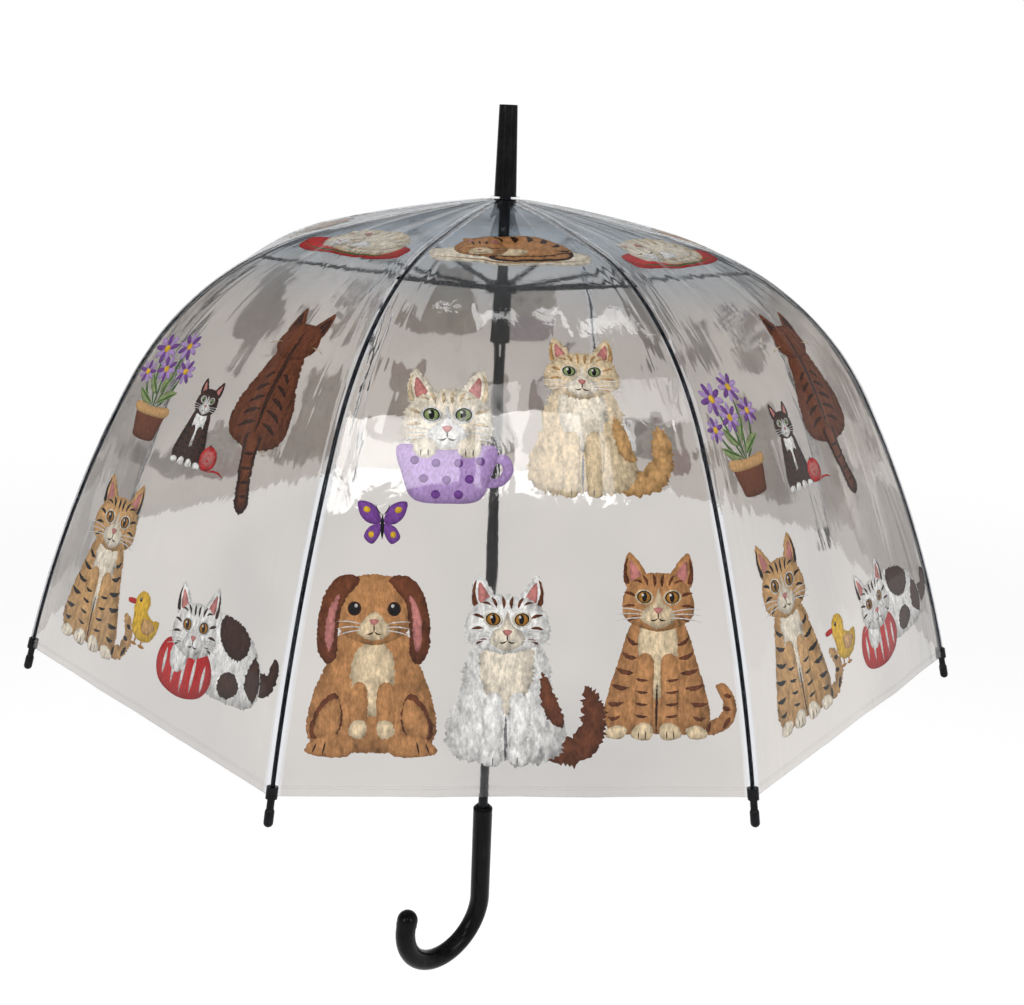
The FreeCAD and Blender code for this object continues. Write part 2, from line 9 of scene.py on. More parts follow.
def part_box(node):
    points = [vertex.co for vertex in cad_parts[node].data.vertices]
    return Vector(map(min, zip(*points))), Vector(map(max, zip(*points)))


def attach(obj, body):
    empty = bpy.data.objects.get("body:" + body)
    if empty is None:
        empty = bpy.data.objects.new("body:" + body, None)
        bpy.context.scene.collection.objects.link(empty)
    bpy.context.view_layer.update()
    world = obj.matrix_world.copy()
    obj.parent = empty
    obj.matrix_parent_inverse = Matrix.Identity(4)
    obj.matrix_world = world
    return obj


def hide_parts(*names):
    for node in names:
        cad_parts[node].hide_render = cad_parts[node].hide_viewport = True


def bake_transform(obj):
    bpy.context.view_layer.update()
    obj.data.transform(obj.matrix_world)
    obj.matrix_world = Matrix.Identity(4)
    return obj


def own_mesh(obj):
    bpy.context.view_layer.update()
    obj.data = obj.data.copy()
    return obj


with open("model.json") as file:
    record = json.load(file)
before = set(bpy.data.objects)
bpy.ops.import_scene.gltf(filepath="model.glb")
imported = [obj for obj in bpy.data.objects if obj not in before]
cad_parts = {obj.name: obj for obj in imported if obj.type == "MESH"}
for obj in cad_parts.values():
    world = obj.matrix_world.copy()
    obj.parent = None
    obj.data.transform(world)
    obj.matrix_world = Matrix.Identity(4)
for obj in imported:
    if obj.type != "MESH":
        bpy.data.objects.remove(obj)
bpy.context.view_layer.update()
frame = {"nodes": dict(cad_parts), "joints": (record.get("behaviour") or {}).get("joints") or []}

joints = {joint["name"]: joint for joint in frame["joints"]}


# ---------------------------------------------------------------- shaft
# A steel tube with a baked black coat. It carries the notch and the ferrule on top and goes
# down into the handle. Its finish is shared with the ribs and stretchers.

def tune(node, **values):
    """Sets a node's settings, named in lower case, and its sockets, with _ for a space."""
    for name, value in values.items():
        if name[0].islower():
            setattr(node, name, value)
        else:
            node.inputs[name.replace("_", " ")].default_value = value
    return node


def add(nodes, kind, **values):
    """A new node with its settings and sockets set."""
    return tune(nodes.new(kind), **values)


def wire(links, *runs):
    """Links nodes, each run being (node, output, next node, input)."""
    for source, output, target, socket in runs:
        links.new(source.outputs[output], target.inputs[socket])


def new_material(name):
    """A material, with its nodes, its links and its main surface."""
    material = bpy.data.materials.new(name)
    material.use_nodes = True
    tree = material.node_tree
    return material, tree.nodes, tree.links, tree.nodes["Principled BSDF"]


def fine_scuffs():
    """Node group: fine rubbed marks, as a mask, a roughness and a height."""
    group = bpy.data.node_groups.new("fine_scuffs", "ShaderNodeTree")
    for name, default in (("Scale", 60.0), ("Plain", 0.3), ("Rubbed", 0.5), ("Stretch", 1.0)):
        socket = group.interface.new_socket(name, in_out="INPUT", socket_type="NodeSocketFloat")
        socket.default_value = default
    for name in ("Mask", "Roughness", "Height"):
        group.interface.new_socket(name, in_out="OUTPUT", socket_type="NodeSocketFloat")
    nodes = group.nodes
    given, result = nodes.new("NodeGroupInput"), nodes.new("NodeGroupOutput")
    place = nodes.new("ShaderNodeTexCoord")
    combine = add(nodes, "ShaderNodeCombineXYZ", X=1.0, Y=1.0)
    mapping = nodes.new("ShaderNodeMapping")
    grain = add(nodes, "ShaderNodeTexNoise", Detail=6.0, Roughness=0.65)
    mask = add(nodes, "ShaderNodeMapRange", From_Min=0.48, From_Max=0.72)
    rough = nodes.new("ShaderNodeMix")
    wire(
        group.links,
        (given, "Stretch", combine, "Z"), (combine, "Vector", mapping, "Scale"),
        (place, "Object", mapping, "Vector"), (mapping, "Vector", grain, "Vector"),
        (given, "Scale", grain, "Scale"), (grain, "Fac", mask, "Value"),
        (mask, "Result", rough, "Factor"), (given, "Plain", rough, "A"),
        (given, "Rubbed", rough, "B"), (mask, "Result", result, "Mask"),
        (rough, "Result", result, "Roughness"), (grain, "Fac", result, "Height"),
    )
    return group


SCUFFS = fine_scuffs()


def scuffed(name, colour, worn, plain, rubbed, scale, stretch, bump, metallic=0.0, sheen=0.5):
    """A solid finish whose colour and gloss vary with fine rubbed marks."""
    material, nodes, links, surface = new_material(name)
    tune(surface, Metallic=metallic, Specular_IOR_Level=sheen)
    marks = add(
        nodes, "ShaderNodeGroup", node_tree=SCUFFS,
        Scale=scale, Plain=plain, Rubbed=rubbed, Stretch=stretch
    )
    tone = add(nodes, "ShaderNodeMix", data_type="RGBA", A=(*colour, 1.0), B=(*worn, 1.0))
    relief = add(nodes, "ShaderNodeBump", Strength=bump, Distance=0.0003)
    wire(
        links,
        (marks, "Mask", tone, "Factor"), (tone, "Result", surface, "Base Color"),
        (marks, "Roughness", surface, "Roughness"),
        (marks, "Height", relief, "Height"), (relief, "Normal", surface, "Normal"),
    )
    return material


black_coat = scuffed(
    "black_coated_steel", (0.006, 0.007, 0.009), (0.018, 0.020, 0.024), 0.26, 0.42, 90, 0.2, 0.15,
    sheen=0.12
)


def dress(material, *names):
    """Gives a CAD node its finish."""
    for name in names:
        mesh = frame["nodes"][name].data
        mesh.materials.clear()
        mesh.materials.append(material)


dress(black_coat, "shaft_tube")

# ---------------------------------------------------------------- notch, runner and catches
# The slotted crown and the sliding sleeve are moulded in black plastic. The blades of the ribs
# and stretchers hang in their slots on rings of bright wire, and the catches are spring steel.

frame_plastic = scuffed(
    "black_frame_plastic", (0.005, 0.005, 0.006), (0.014, 0.014, 0.016), 0.34, 0.5, 140, 1.0, 0.3,
    sheen=0.12
)
bright_steel = scuffed(
    "bright_spring_steel", (0.55, 0.56, 0.57), (0.42, 0.42, 0.42), 0.2, 0.38, 400, 1.0, 0.1, 1.0
)
dress(frame_plastic, "top_notch", "runner")
dress(bright_steel, "notch_wire", "runner_wire", "top_catch", "bottom_catch")

# ---------------------------------------------------------------- stretchers
# Pressed and folded steel struts, forked round the rib and riveted, in the shaft's black coat.

RIB_COUNT = 8
ribs = range(1, RIB_COUNT + 1)
dress(black_coat, *(f"stretcher_{number}" for number in ribs))

# ---------------------------------------------------------------- ribs
# Each rib is one springy coated rod, bent into the dome's line by the film. It hangs on the
# notch wire by a flattened eye, and a clip carries the stretcher's rivet.

notch_pivot = Vector(joints["rib_fold_1"]["pos_m"])
NOTCH_RADIUS = notch_pivot.xy.length
DOME_ARCS = (
    (1.400, 6.8, 13.6),
    (0.244, 13.6, 59.9),
    (0.959, 59.9, 74.1),
)
ROD_RADIUS = 0.0015
ROD_FACETS = 12
BEND_SLOPE = 25.8
CREASE_ANGLE = math.radians(40.0)
RIB_STEP = math.tau / RIB_COUNT


def dome_line():
    """The dome's arcs as (start length, radius, first slope, start radius, start height)."""
    found = []
    length, across, height = 0.0, NOTCH_RADIUS, notch_pivot.z
    for radius, first, last in DOME_ARCS:
        first, last = math.radians(first), math.radians(last)
        found.append((length, radius, first, across, height))
        across += radius * (math.sin(last) - math.sin(first))
        height -= radius * (math.cos(first) - math.cos(last))
        length += radius * (last - first)
    return found, length


DOME, DOME_LENGTH = dome_line()


def dome_at(length, offset=0.0):
    """(distance from the shaft, height, slope) of the dome line, offset along its normal."""
    start, radius, first, across, height = [a for a in DOME if a[0] <= max(length, 0.0)][-1]
    slope = first + (length - start) / radius
    across += radius * (math.sin(slope) - math.sin(first)) + offset * math.sin(slope)
    height += radius * (math.cos(slope) - math.cos(first)) + offset * math.cos(slope)
    return across, height, slope


def length_at(slope_in_degrees):
    """How far down the dome line this slope is reached."""
    slope = math.radians(slope_in_degrees)
    start, radius, first = [a for a in DOME if a[2] <= slope][-1][:3]
    return start + radius * (slope - first)


BEND_LENGTH = length_at(BEND_SLOPE)


def rib_azimuth(number):
    """The bearing of a rib."""
    return RIB_STEP * (number - 0.5)


def spun(across, height, azimuth, aside=0.0):
    """A point at a distance from the shaft, moved aside along the tangent."""
    out = Vector((math.cos(azimuth), math.sin(azimuth), 0.0))
    along = Vector((-out.y, out.x, 0.0))
    return out * across + along * aside + Vector((0.0, 0.0, height))


def in_scene(name, data):
    """A new object of the scene, holding this data."""
    made = bpy.data.objects.new(name, data)
    bpy.context.scene.collection.objects.link(made)
    return made


def new_piece(name, vertices, faces, material, smooth=True):
    """A mesh object from points and faces, in place in the row frame."""
    mesh = bpy.data.meshes.new(name)
    mesh.from_pydata([tuple(v) for v in vertices], [], faces)
    mesh.polygons.foreach_set("use_smooth", [smooth] * len(mesh.polygons))
    mesh.materials.append(material)
    return in_scene(name, mesh)


def outward(piece):
    """Turns every face of a closed piece outwards, and keeps its corners crisp."""
    shape = bmesh.new()
    shape.from_mesh(piece.data)
    bmesh.ops.recalc_face_normals(shape, faces=shape.faces)
    shape.to_mesh(piece.data)
    shape.free()
    piece.data.set_sharp_from_angle(angle=CREASE_ANGLE)
    return piece


def rod_tree(material):
    """Geometry Nodes: a round rod along a line of points."""
    tree = bpy.data.node_groups.new("coated_rod", "GeometryNodeTree")
    for name, way in (("Line", "INPUT"), ("Rod", "OUTPUT")):
        tree.interface.new_socket(name, in_out=way, socket_type="NodeSocketGeometry")
    nodes = tree.nodes
    given, result = nodes.new("NodeGroupInput"), nodes.new("NodeGroupOutput")
    curve = nodes.new("GeometryNodeMeshToCurve")
    section = add(
        nodes, "GeometryNodeCurvePrimitiveCircle", Radius=ROD_RADIUS, Resolution=ROD_FACETS
    )
    sweep = add(nodes, "GeometryNodeCurveToMesh", Fill_Caps=True)
    shade = nodes.new("GeometryNodeSetShadeSmooth")
    finish = add(nodes, "GeometryNodeSetMaterial", Material=material)
    wire(
        tree.links,
        (given, "Line", curve, "Mesh"), (curve, "Curve", sweep, "Curve"),
        (section, "Curve", sweep, "Profile Curve"), (sweep, "Mesh", shade, "Geometry"),
        (shade, "Geometry", finish, "Geometry"), (finish, "Geometry", result, "Rod"),
    )
    return tree


ROD_TREE = rod_tree(black_coat)


def rod_along(name, points):
    """A rod along a line of points, as a plain mesh."""
    edges = [(i, i + 1) for i in range(len(points) - 1)]
    line = bpy.data.meshes.new(name + "_line")
    line.from_pydata([tuple(p) for p in points], edges, [])
    maker = in_scene(name + "_maker", line)
    maker.modifiers.new("rod", "NODES").node_group = ROD_TREE
    evaluated = maker.evaluated_get(bpy.context.evaluated_depsgraph_get())
    mesh = bpy.data.meshes.new_from_object(evaluated)
    bpy.data.objects.remove(maker)
    bpy.data.meshes.remove(line)
    mesh.name = name
    return in_scene(name, mesh)


BEND_ZONE = 0.05
EYE_RADIUS = 0.0016
EYE_HOLE = 0.00075
EYE_SEGMENTS = 28
BLADE_HALF = 0.0008
BLADE_START = 0.0012
BLADE_LENGTH = 0.0075
BLADE_TAPER = 0.0145
BLADE_STEPS = 8
BLADE_SIDES = 16
BLADE_SQUARE = 0.72
ROD_LAP = 0.0008
ROD_IN_TIP = 0.010
ROD_STEPS = 96


def bends_with_rib(piece, number):
    """Bakes the piece's placement into its mesh; the rib's points either side of the bend go
    unused.
    """
    azimuth = rib_azimuth(number)
    near = spun(*dome_at(BEND_LENGTH - BEND_ZONE)[:2], azimuth)
    far = spun(*dome_at(BEND_LENGTH + BEND_ZONE)[:2], azimuth)
    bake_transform(piece)
    return piece


def blade_points():
    """The blade's outlines from its eye to the round rod: (height, width) at each length."""
    for step in range(BLADE_STEPS + 1):
        length = BLADE_START + (BLADE_TAPER - BLADE_START) * step / BLADE_STEPS
        share = min(max((length - BLADE_LENGTH) / (BLADE_TAPER - BLADE_LENGTH), 0.0), 1.0)
        share = share * share * (3.0 - 2.0 * share)
        tall = EYE_RADIUS + (ROD_RADIUS - EYE_RADIUS) * share
        wide = BLADE_HALF + (ROD_RADIUS - BLADE_HALF) * share
        square = BLADE_SQUARE + (1.0 - BLADE_SQUARE) * share
        ring = []
        for side in range(BLADE_SIDES):
            turn = math.tau * side / BLADE_SIDES
            up = math.copysign(abs(math.sin(turn)) ** square, math.sin(turn))
            out = math.copysign(abs(math.cos(turn)) ** square, math.cos(turn))
            ring.append((tall * up, wide * out))
        yield length, ring


def rib_blade(number):
    """The rib's end: hammered flat, with an eye round the notch wire."""
    azimuth = rib_azimuth(number)
    vertices, faces, sides = [], [], BLADE_SIDES
    for length, ring in blade_points():
        for rise, aside in ring:
            across, height, _ = dome_at(length, rise)
            vertices.append(spun(across, height, azimuth, aside))
    rings = len(vertices) // sides
    for row in range(rings - 1):
        for side in range(sides):
            following = (side + 1) % sides
            faces.append([
                row * sides + side, row * sides + following,
                (row + 1) * sides + following, (row + 1) * sides + side,
            ])
    faces.append(list(range(sides)))
    faces.append(list(range((rings - 1) * sides, rings * sides)))
    eye_start = len(vertices)
    segments = EYE_SEGMENTS
    for side in (-1, 1):
        for radius in (EYE_HOLE, EYE_RADIUS):
            for step in range(segments):
                turn = math.tau * step / segments
                out = NOTCH_RADIUS + radius * math.cos(turn)
                up = notch_pivot.z + radius * math.sin(turn)
                vertices.append(spun(out, up, azimuth, side * BLADE_HALF))

    def at(side, ring, step):
        return eye_start + (side * 2 + ring) * segments + step % segments

    for step in range(segments):
        for side in (0, 1):
            faces.append([at(side, 0, step), at(side, 0, step + 1),
                          at(side, 1, step + 1), at(side, 1, step)])
        for ring in (0, 1):
            faces.append([at(0, ring, step), at(0, ring, step + 1),
                          at(1, ring, step + 1), at(1, ring, step)])
    piece = outward(new_piece(f"rib_eye_{number}", vertices, faces, black_coat))
    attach(piece, f"rib_upper_{number}")
    return piece


def rib(number):
    """One rib: the long rod, and the blade on its upper end."""
    azimuth = rib_azimuth(number)
    start, end = BLADE_TAPER - ROD_LAP, DOME_LENGTH + ROD_IN_TIP
    lengths = [start + (end - start) * i / ROD_STEPS for i in range(ROD_STEPS + 1)]
    points = [spun(*dome_at(length)[:2], azimuth) for length in lengths]
    piece = rod_along(f"rib_{number}", points)
    bends_with_rib(piece, number)
    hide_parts(f"rib_upper_{number}", f"rib_lower_{number}")
    rib_blade(number)


for number in ribs:
    rib(number)
dress(frame_plastic, *(f"rib_tip_{number}" for number in ribs))

# ---------------------------------------------------------------- gores
# Eight panels of clear vinyl film, cut flat and welded edge to edge over the ribs. Each is
# stretched straight across between two ribs, and keeps creases from having been folded.

FILM_INSIDE = 0.0020
FILM_THICKNESS = 0.0002
SEAM_GAP = 0.00015
HALF_STEP = RIB_STEP / 2
FILM_TOP = 0.001
GORE_COLUMNS = 48
GORE_ROWS = {"upper": 26, "lower": 48}
PUCKER = 0.0016
PUCKER_REACH = 0.12
PUCKER_GAP = 0.05
SLACK = 0.0024
CREASE = 0.0006
CREASE_AT = 1.0 / 3.0
CREASE_SHARPNESS = 12.0
MIDDLE_CREASE = 0.6
TAUT_LENGTH = 0.15
CUT_STEPS = 60


def clear_film():
    """Glossy clear vinyl with a light grey tint and a fine cockle. Over the crown its colour turns
    bluer and darker, as a painted reflection of a dim room overhead. Along the ribs it mirrors
    less, and its colour is painted paler there as a painted highlight."""
    material, nodes, links, surface = new_material("clear_vinyl_film")
    tune(surface, Roughness=0.035, Metallic=0.0, Transmission_Weight=1.0)
    place = nodes.new("ShaderNodeTexCoord")
    parts = nodes.new("ShaderNodeSeparateXYZ")
    # Painted reflection: going up, the film's colour changes from its warm grey tint to a darker
    # blue grey.
    crown_reflection_mask = add(
        nodes, "ShaderNodeMapRange", interpolation_type="SMOOTHSTEP",
        From_Min=0.585, From_Max=0.655
    )
    tint = add(
        nodes, "ShaderNodeMix", data_type="RGBA",
        A=(0.70, 0.665, 0.635, 1.0), B=(0.53, 0.59, 0.645, 1.0)
    )
    cloud = add(nodes, "ShaderNodeTexNoise", Scale=5.0, Detail=3.0)
    patchy = add(nodes, "ShaderNodeMapRange", From_Min=0.38, From_Max=0.66)
    shade = add(
        nodes, "ShaderNodeMix", data_type="RGBA", blend_type="MULTIPLY",
        B=(0.83, 0.845, 0.86, 1.0)
    )
    wire(
        links,
        (place, "Object", parts, "Vector"), (parts, "Z", crown_reflection_mask, "Value"),
        (crown_reflection_mask, "Result", tint, "Factor"), (place, "Object", cloud, "Vector"),
        (cloud, "Fac", patchy, "Value"), (patchy, "Result", shade, "Factor"),
        (tint, "Result", shade, "A"),
    )
    on_gore = add(nodes, "ShaderNodeAttribute", attribute_name="film_place")
    across = nodes.new("ShaderNodeSeparateXYZ")
    aside = add(nodes, "ShaderNodeMath", operation="ABSOLUTE")
    # Painted highlight: a narrow band beside each rib is painted a paler grey, and the same band
    # mirrors less.
    seam_highlight_mask = add(nodes, "ShaderNodeMapRange", From_Min=0.955, From_Max=0.975)
    gloss = add(nodes, "ShaderNodeMapRange", To_Min=1.46, To_Max=1.03)
    pale = add(nodes, "ShaderNodeMix", data_type="RGBA", B=(0.84, 0.845, 0.86, 1.0))
    wire(
        links,
        (on_gore, "Vector", across, "Vector"), (across, "X", aside, 0),
        (aside, "Value", seam_highlight_mask, "Value"), (seam_highlight_mask, "Result", gloss, "Value"),
        (gloss, "Result", surface, "IOR"), (seam_highlight_mask, "Result", pale, "Factor"),
        (shade, "Result", pale, "A"), (pale, "Result", surface, "Base Color"),
    )
    flatten = add(nodes, "ShaderNodeMapping", Scale=(1.0, 1.0, 0.35))
    cockle = add(nodes, "ShaderNodeTexNoise", Scale=34.0, Detail=4.0, Distortion=0.6)
    drawn_out = add(nodes, "ShaderNodeMapping", Scale=(7.0, 6.0, 3.7))
    streaks = add(nodes, "ShaderNodeTexNoise", Scale=1.0, Detail=1.5, Distortion=0.8)
    near_seam = add(
        nodes, "ShaderNodeMapRange", interpolation_type="SMOOTHSTEP",
        From_Min=0.50, From_Max=0.95, To_Min=0.25, To_Max=1.0
    )
    below_crown = add(
        nodes, "ShaderNodeMapRange", interpolation_type="SMOOTHSTEP",
        From_Min=0.06, From_Max=0.34
    )
    where = add(nodes, "ShaderNodeMath", operation="MULTIPLY")
    pulled = add(nodes, "ShaderNodeMath", operation="MULTIPLY")
    height = add(nodes, "ShaderNodeMath", operation="MULTIPLY_ADD")
    height.inputs[1].default_value = 0.8
    relief = add(nodes, "ShaderNodeBump", Strength=0.45, Distance=0.0012)
    wire(
        links,
        (place, "Object", flatten, "Vector"), (flatten, "Vector", cockle, "Vector"),
        (on_gore, "Vector", drawn_out, "Vector"), (drawn_out, "Vector", streaks, "Vector"),
        (aside, "Value", near_seam, "Value"), (across, "Y", below_crown, "Value"),
        (near_seam, "Result", where, 0), (below_crown, "Result", where, 1),
        (streaks, "Fac", pulled, 0), (where, "Value", pulled, 1),
        (pulled, "Value", height, 0), (cockle, "Fac", height, 2),
        (height, "Value", relief, "Height"), (relief, "Normal", surface, "Normal"),
    )
    return let_light_through(material, surface, (0.93, 0.935, 0.94))


def let_light_through(material, surface, tint):
    """Shadow rays pass through the clear surface with a slight tint."""
    nodes, links = material.node_tree.nodes, material.node_tree.links
    path = nodes.new("ShaderNodeLightPath")
    through = add(nodes, "ShaderNodeBsdfTransparent", Color=(*tint, 1.0))
    choose = nodes.new("ShaderNodeMixShader")
    wire(
        links,
        (path, "Is Shadow Ray", choose, "Fac"), (surface, "BSDF", choose, 1),
        (through, "BSDF", choose, 2), (choose, "Shader", nodes["Material Output"], "Surface"),
    )
    return material


film = clear_film()


def gore_azimuth(number):
    """The bearing of a gore's middle."""
    return RIB_STEP * number


def cockle(number, across, length):
    """How far the film stands off its taut place: puckers at the seams, creases between."""
    edge = abs(across)
    inward = 1.0 - edge
    seam = math.exp(-(inward / PUCKER_REACH) ** 2) * (1.0 - math.exp(-(inward / PUCKER_GAP) ** 2))
    pucker = seam * noise.noise(Vector((number * 7.3, across * 2.0, length * 45.0)))
    slack = (1.0 - edge**2) * noise.noise(Vector((across * 2.4, number * 3.1, length * 9.0)))
    crease = max(0.0, 1.0 - abs(edge - CREASE_AT) * CREASE_SHARPNESS)
    crease -= MIDDLE_CREASE * max(0.0, 1.0 - edge * CREASE_SHARPNESS)
    fade = min(1.0, max(length, 0.0) / TAUT_LENGTH)
    return fade * (PUCKER * pucker + SLACK * slack + CREASE * crease)


def film_point(number, across, length, lift=0.0):
    """A point of a gore: across runs from -1 to 1 between the ribs, length down the dome."""
    offset = FILM_INSIDE + lift + cockle(number, across, length)
    distance, height, slope = dome_at(length, offset)
    half_width = distance * math.sin(HALF_STEP) - SEAM_GAP / math.cos(HALF_STEP)
    apothem = distance * math.cos(HALF_STEP)
    return spun(apothem, height, gore_azimuth(number), across * half_width)


def shell(name, rows, columns, place, material):
    """A closed thin shell over a grid: place(row, column, side) gives its points."""
    vertices, faces = [], []
    for side in (0, 1):
        for row in range(rows + 1):
            vertices += [place(row, column, side) for column in range(columns + 1)]
    count = (rows + 1) * (columns + 1)

    def index(row, column, side):
        return side * count + row * (columns + 1) + column

    for row in range(rows):
        for column in range(columns):
            corners = ((row, column), (row + 1, column), (row + 1, column + 1), (row, column + 1))
            faces.append([index(r, c, 1) for r, c in corners])
            faces.append([index(r, c, 0) for r, c in reversed(corners)])
    rim = [(0, column) for column in range(columns)]
    rim += [(row, columns) for row in range(rows)]
    rim += [(rows, column) for column in range(columns, 0, -1)]
    rim += [(row, 0) for row in range(rows, 0, -1)]
    for (r1, c1), (r2, c2) in zip(rim, rim[1:] + rim[:1]):
        faces.append([index(r1, c1, 0), index(r2, c2, 0), index(r2, c2, 1), index(r1, c1, 1)])
    return outward(new_piece(name, vertices, faces, material))


def gore_part(name, number, start, end, rows, material, low, high):
    """A stretch of one gore between two lengths down the dome, as a thin closed shell."""

    def spot(row, column):
        return 2.0 * column / GORE_COLUMNS - 1.0, start + (end - start) * row / rows

    def place(row, column, side):
        return film_point(number, *spot(row, column), (low, high)[side])

    piece = shell(name, rows, GORE_COLUMNS, place, material)
    places = [
        value
        for side in (0, 1)
        for row in range(rows + 1)
        for column in range(GORE_COLUMNS + 1)
        for value in (*spot(row, column), number)
    ]
    laid = piece.data.attributes.new("film_place", "FLOAT_VECTOR", "POINT")
    laid.data.foreach_set("vector", places)
    return piece


def gather(piece):
    """Gives the piece its own copy of its mesh."""
    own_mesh(piece)
    return piece


def flat_cut(start, end):
    """A gore part's flat width, length and area."""
    widths = []
    for step in range(CUT_STEPS + 1):
        distance = dome_at(start + (end - start) * step / CUT_STEPS, FILM_INSIDE)[0]
        widths.append(2.0 * distance * math.sin(HALF_STEP))
    area = (end - start) * (sum(widths) - (widths[0] + widths[-1]) / 2) / CUT_STEPS
    return (max(widths), end - start), area


def film_gore(number):
    """One gore, as its parts above and below the stretchers."""
    for half, start, end in (
        ("upper", FILM_TOP, BEND_LENGTH), ("lower", BEND_LENGTH, DOME_LENGTH)
    ):
        name, rows = f"film_{half}_{number}", GORE_ROWS[half]
        piece = gore_part(name, number, start, end, rows, film, 0.0, FILM_THICKNESS)
        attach(piece, f"gore_{half}_{number}")
        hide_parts(f"gore_{half}_{number}")
        cut, area = flat_cut(start, end)
        gather(piece)


for number in ribs:
    film_gore(number)

# ---------------------------------------------------------------- seams and hem
# The gores' edges are heat-welded under a narrow band of the same film, which looks paler
# than the panels. The hem is turned up and welded, and shows three fine lines.

def welded_film():
    """The same vinyl where it is welded double: pale, and ridged by the welding bar."""
    material, nodes, links, surface = new_material("welded_vinyl_band")
    tune(surface, Roughness=0.12, IOR=1.03, Metallic=0.0, Transmission_Weight=1.0)
    place = nodes.new("ShaderNodeTexCoord")
    patches = add(nodes, "ShaderNodeTexNoise", Scale=70.0, Detail=4.0)
    tone = add(
        nodes, "ShaderNodeMix", data_type="RGBA",
        A=(0.90, 0.905, 0.915, 1.0), B=(0.98, 0.985, 0.99, 1.0)
    )
    ridges = add(
        nodes, "ShaderNodeTexWave", bands_direction="Z", Scale=120.0, Distortion=2.0
    )
    relief = add(nodes, "ShaderNodeBump", Strength=0.5, Distance=0.0004)
    wire(
        links,
        (place, "Object", patches, "Vector"), (patches, "Fac", tone, "Factor"),
        (tone, "Result", surface, "Base Color"), (place, "Object", ridges, "Vector"),
        (ridges, "Color", relief, "Height"), (relief, "Normal", surface, "Normal"),
    )
    return let_light_through(material, surface, (0.88, 0.885, 0.89))


weld = welded_film()
SEAM_HALF_WIDTH = 0.0052
SEAM_LIFT = 0.00045
SEAM_THICKNESS = 0.00035
SEAM_TOP = 0.012
SEAM_ROWS = 110
SEAM_COLUMNS = 8
SEAM_WANDER = 0.0004
BEAD_HEIGHT = 0.00035
BEAD_COLUMN = 3.4
BEAD_WIDTH = 0.5


def seam_band(number):
    """The welded band over a rib, bent to the two panels that it joins."""
    azimuth = rib_azimuth(number)

    def place(row, column, side):
        length = SEAM_TOP + (DOME_LENGTH - SEAM_TOP) * row / SEAM_ROWS
        aside = SEAM_HALF_WIDTH * (2.0 * column / SEAM_COLUMNS - 1.0)
        wander = SEAM_WANDER * noise.noise(Vector((length * 40.0, number * 5.0, 0.0)))
        from_bead = (abs(column - SEAM_COLUMNS / 2) - BEAD_COLUMN) / BEAD_WIDTH
        bead = BEAD_HEIGHT * math.exp(-from_bead**2)
        offset = FILM_INSIDE + SEAM_LIFT + side * (SEAM_THICKNESS + bead)
        distance, height, slope = dome_at(length, offset)
        distance -= abs(aside) * math.tan(HALF_STEP)
        return spun(distance, height, azimuth, aside + wander)

    piece = shell(f"seam_band_{number}", SEAM_ROWS, SEAM_COLUMNS, place, weld)
    bends_with_rib(piece, number)
    return piece


HEM_DEPTH = 0.0065
HEM_LINE = 0.0007
HEM_LINE_STEP = 0.0015
HEM_LINE_LIFT = (0.0001, 0.00035)


def hem_line(number, which, distance_up):
    """One of the fine weld lines along the film's edge and above it."""
    start = DOME_LENGTH - distance_up - HEM_LINE
    low, high = (FILM_THICKNESS + lift for lift in HEM_LINE_LIFT)
    piece = gore_part(
        f"hem_weld_{which}_{number}", number, start, start + HEM_LINE, 1, weld, low, high
    )
    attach(piece, f"gore_lower_{number}")
    gather(piece)


for number in ribs:
    seam_band(number)
    hem_line(number, "edge", 0.0)
    hem_line(number, "low", HEM_DEPTH - HEM_LINE_STEP)
    hem_line(number, "high", HEM_DEPTH)

# ---------------------------------------------------------------- printed animals
# Each gore is screen-printed on its outer face with cats, a rabbit, toys and flowers, in inks
# over a white undercoat. Two sets of motifs take turns round the dome, clear of the bend.

INKS = {
    "tan": (0.50, 0.24, 0.095),
    "gold": (0.62, 0.36, 0.15),
    "chestnut": (0.165, 0.052, 0.024),
    "umber": (0.055, 0.023, 0.015),
    "cream": (0.76, 0.60, 0.39),
    "ivory": (0.86, 0.77, 0.63),
    "white": (0.88, 0.87, 0.85),
    "grey": (0.27, 0.26, 0.27),
    "black": (0.013, 0.012, 0.014),
    "pink": (0.60, 0.23, 0.21),
    "red": (0.56, 0.022, 0.024),
    "purple": (0.20, 0.07, 0.33),
    "lilac": (0.50, 0.33, 0.66),
    "yellow": (0.82, 0.50, 0.04),
    "amber": (0.45, 0.20, 0.03),
    "leaf": (0.07, 0.19, 0.035),
    "sage": (0.30, 0.38, 0.16),
}


def oval(x, y, wide, tall, turn=0.0, count=12):
    """An oval from its centre and its half sizes, in millimetres."""
    c, s = math.cos(math.radians(turn)), math.sin(math.radians(turn))
    rim = [(wide * math.cos(t), tall * math.sin(t)) for t in
           (math.tau * i / count for i in range(count))]
    return [(x + a * c - b * s, y + a * s + b * c) for a, b in rim]


def stroke(x0, y0, x1, y1, width, bow=0.0):
    """A brush stroke that tapers to both its ends, bowed to its left."""
    dx, dy = x1 - x0, y1 - y0
    reach = math.hypot(dx, dy)
    px, py = -dy / reach, dx / reach
    left, right = [], []
    for share, part in ((0.0, 0.04), (0.25, 0.42), (0.5, 0.5), (0.75, 0.42), (1.0, 0.04)):
        curve = bow * 4.0 * share * (1.0 - share)
        mx, my = x0 + dx * share + px * curve, y0 + dy * share + py * curve
        left.append((mx + px * width * part, my + py * width * part))
        right.append((mx - px * width * part, my - py * width * part))
    return left + right[::-1]


def whole(half):
    """A closed outline from its right half, which starts and ends on the centre line."""
    return half + [(-x, y) for x, y in half[::-1] if x]


def both(ink, shag, points):
    """A shape and its mirror image across the motif's own centre line."""
    return [(ink, shag, points), (ink, shag, [(-x, y) for x, y in points])]


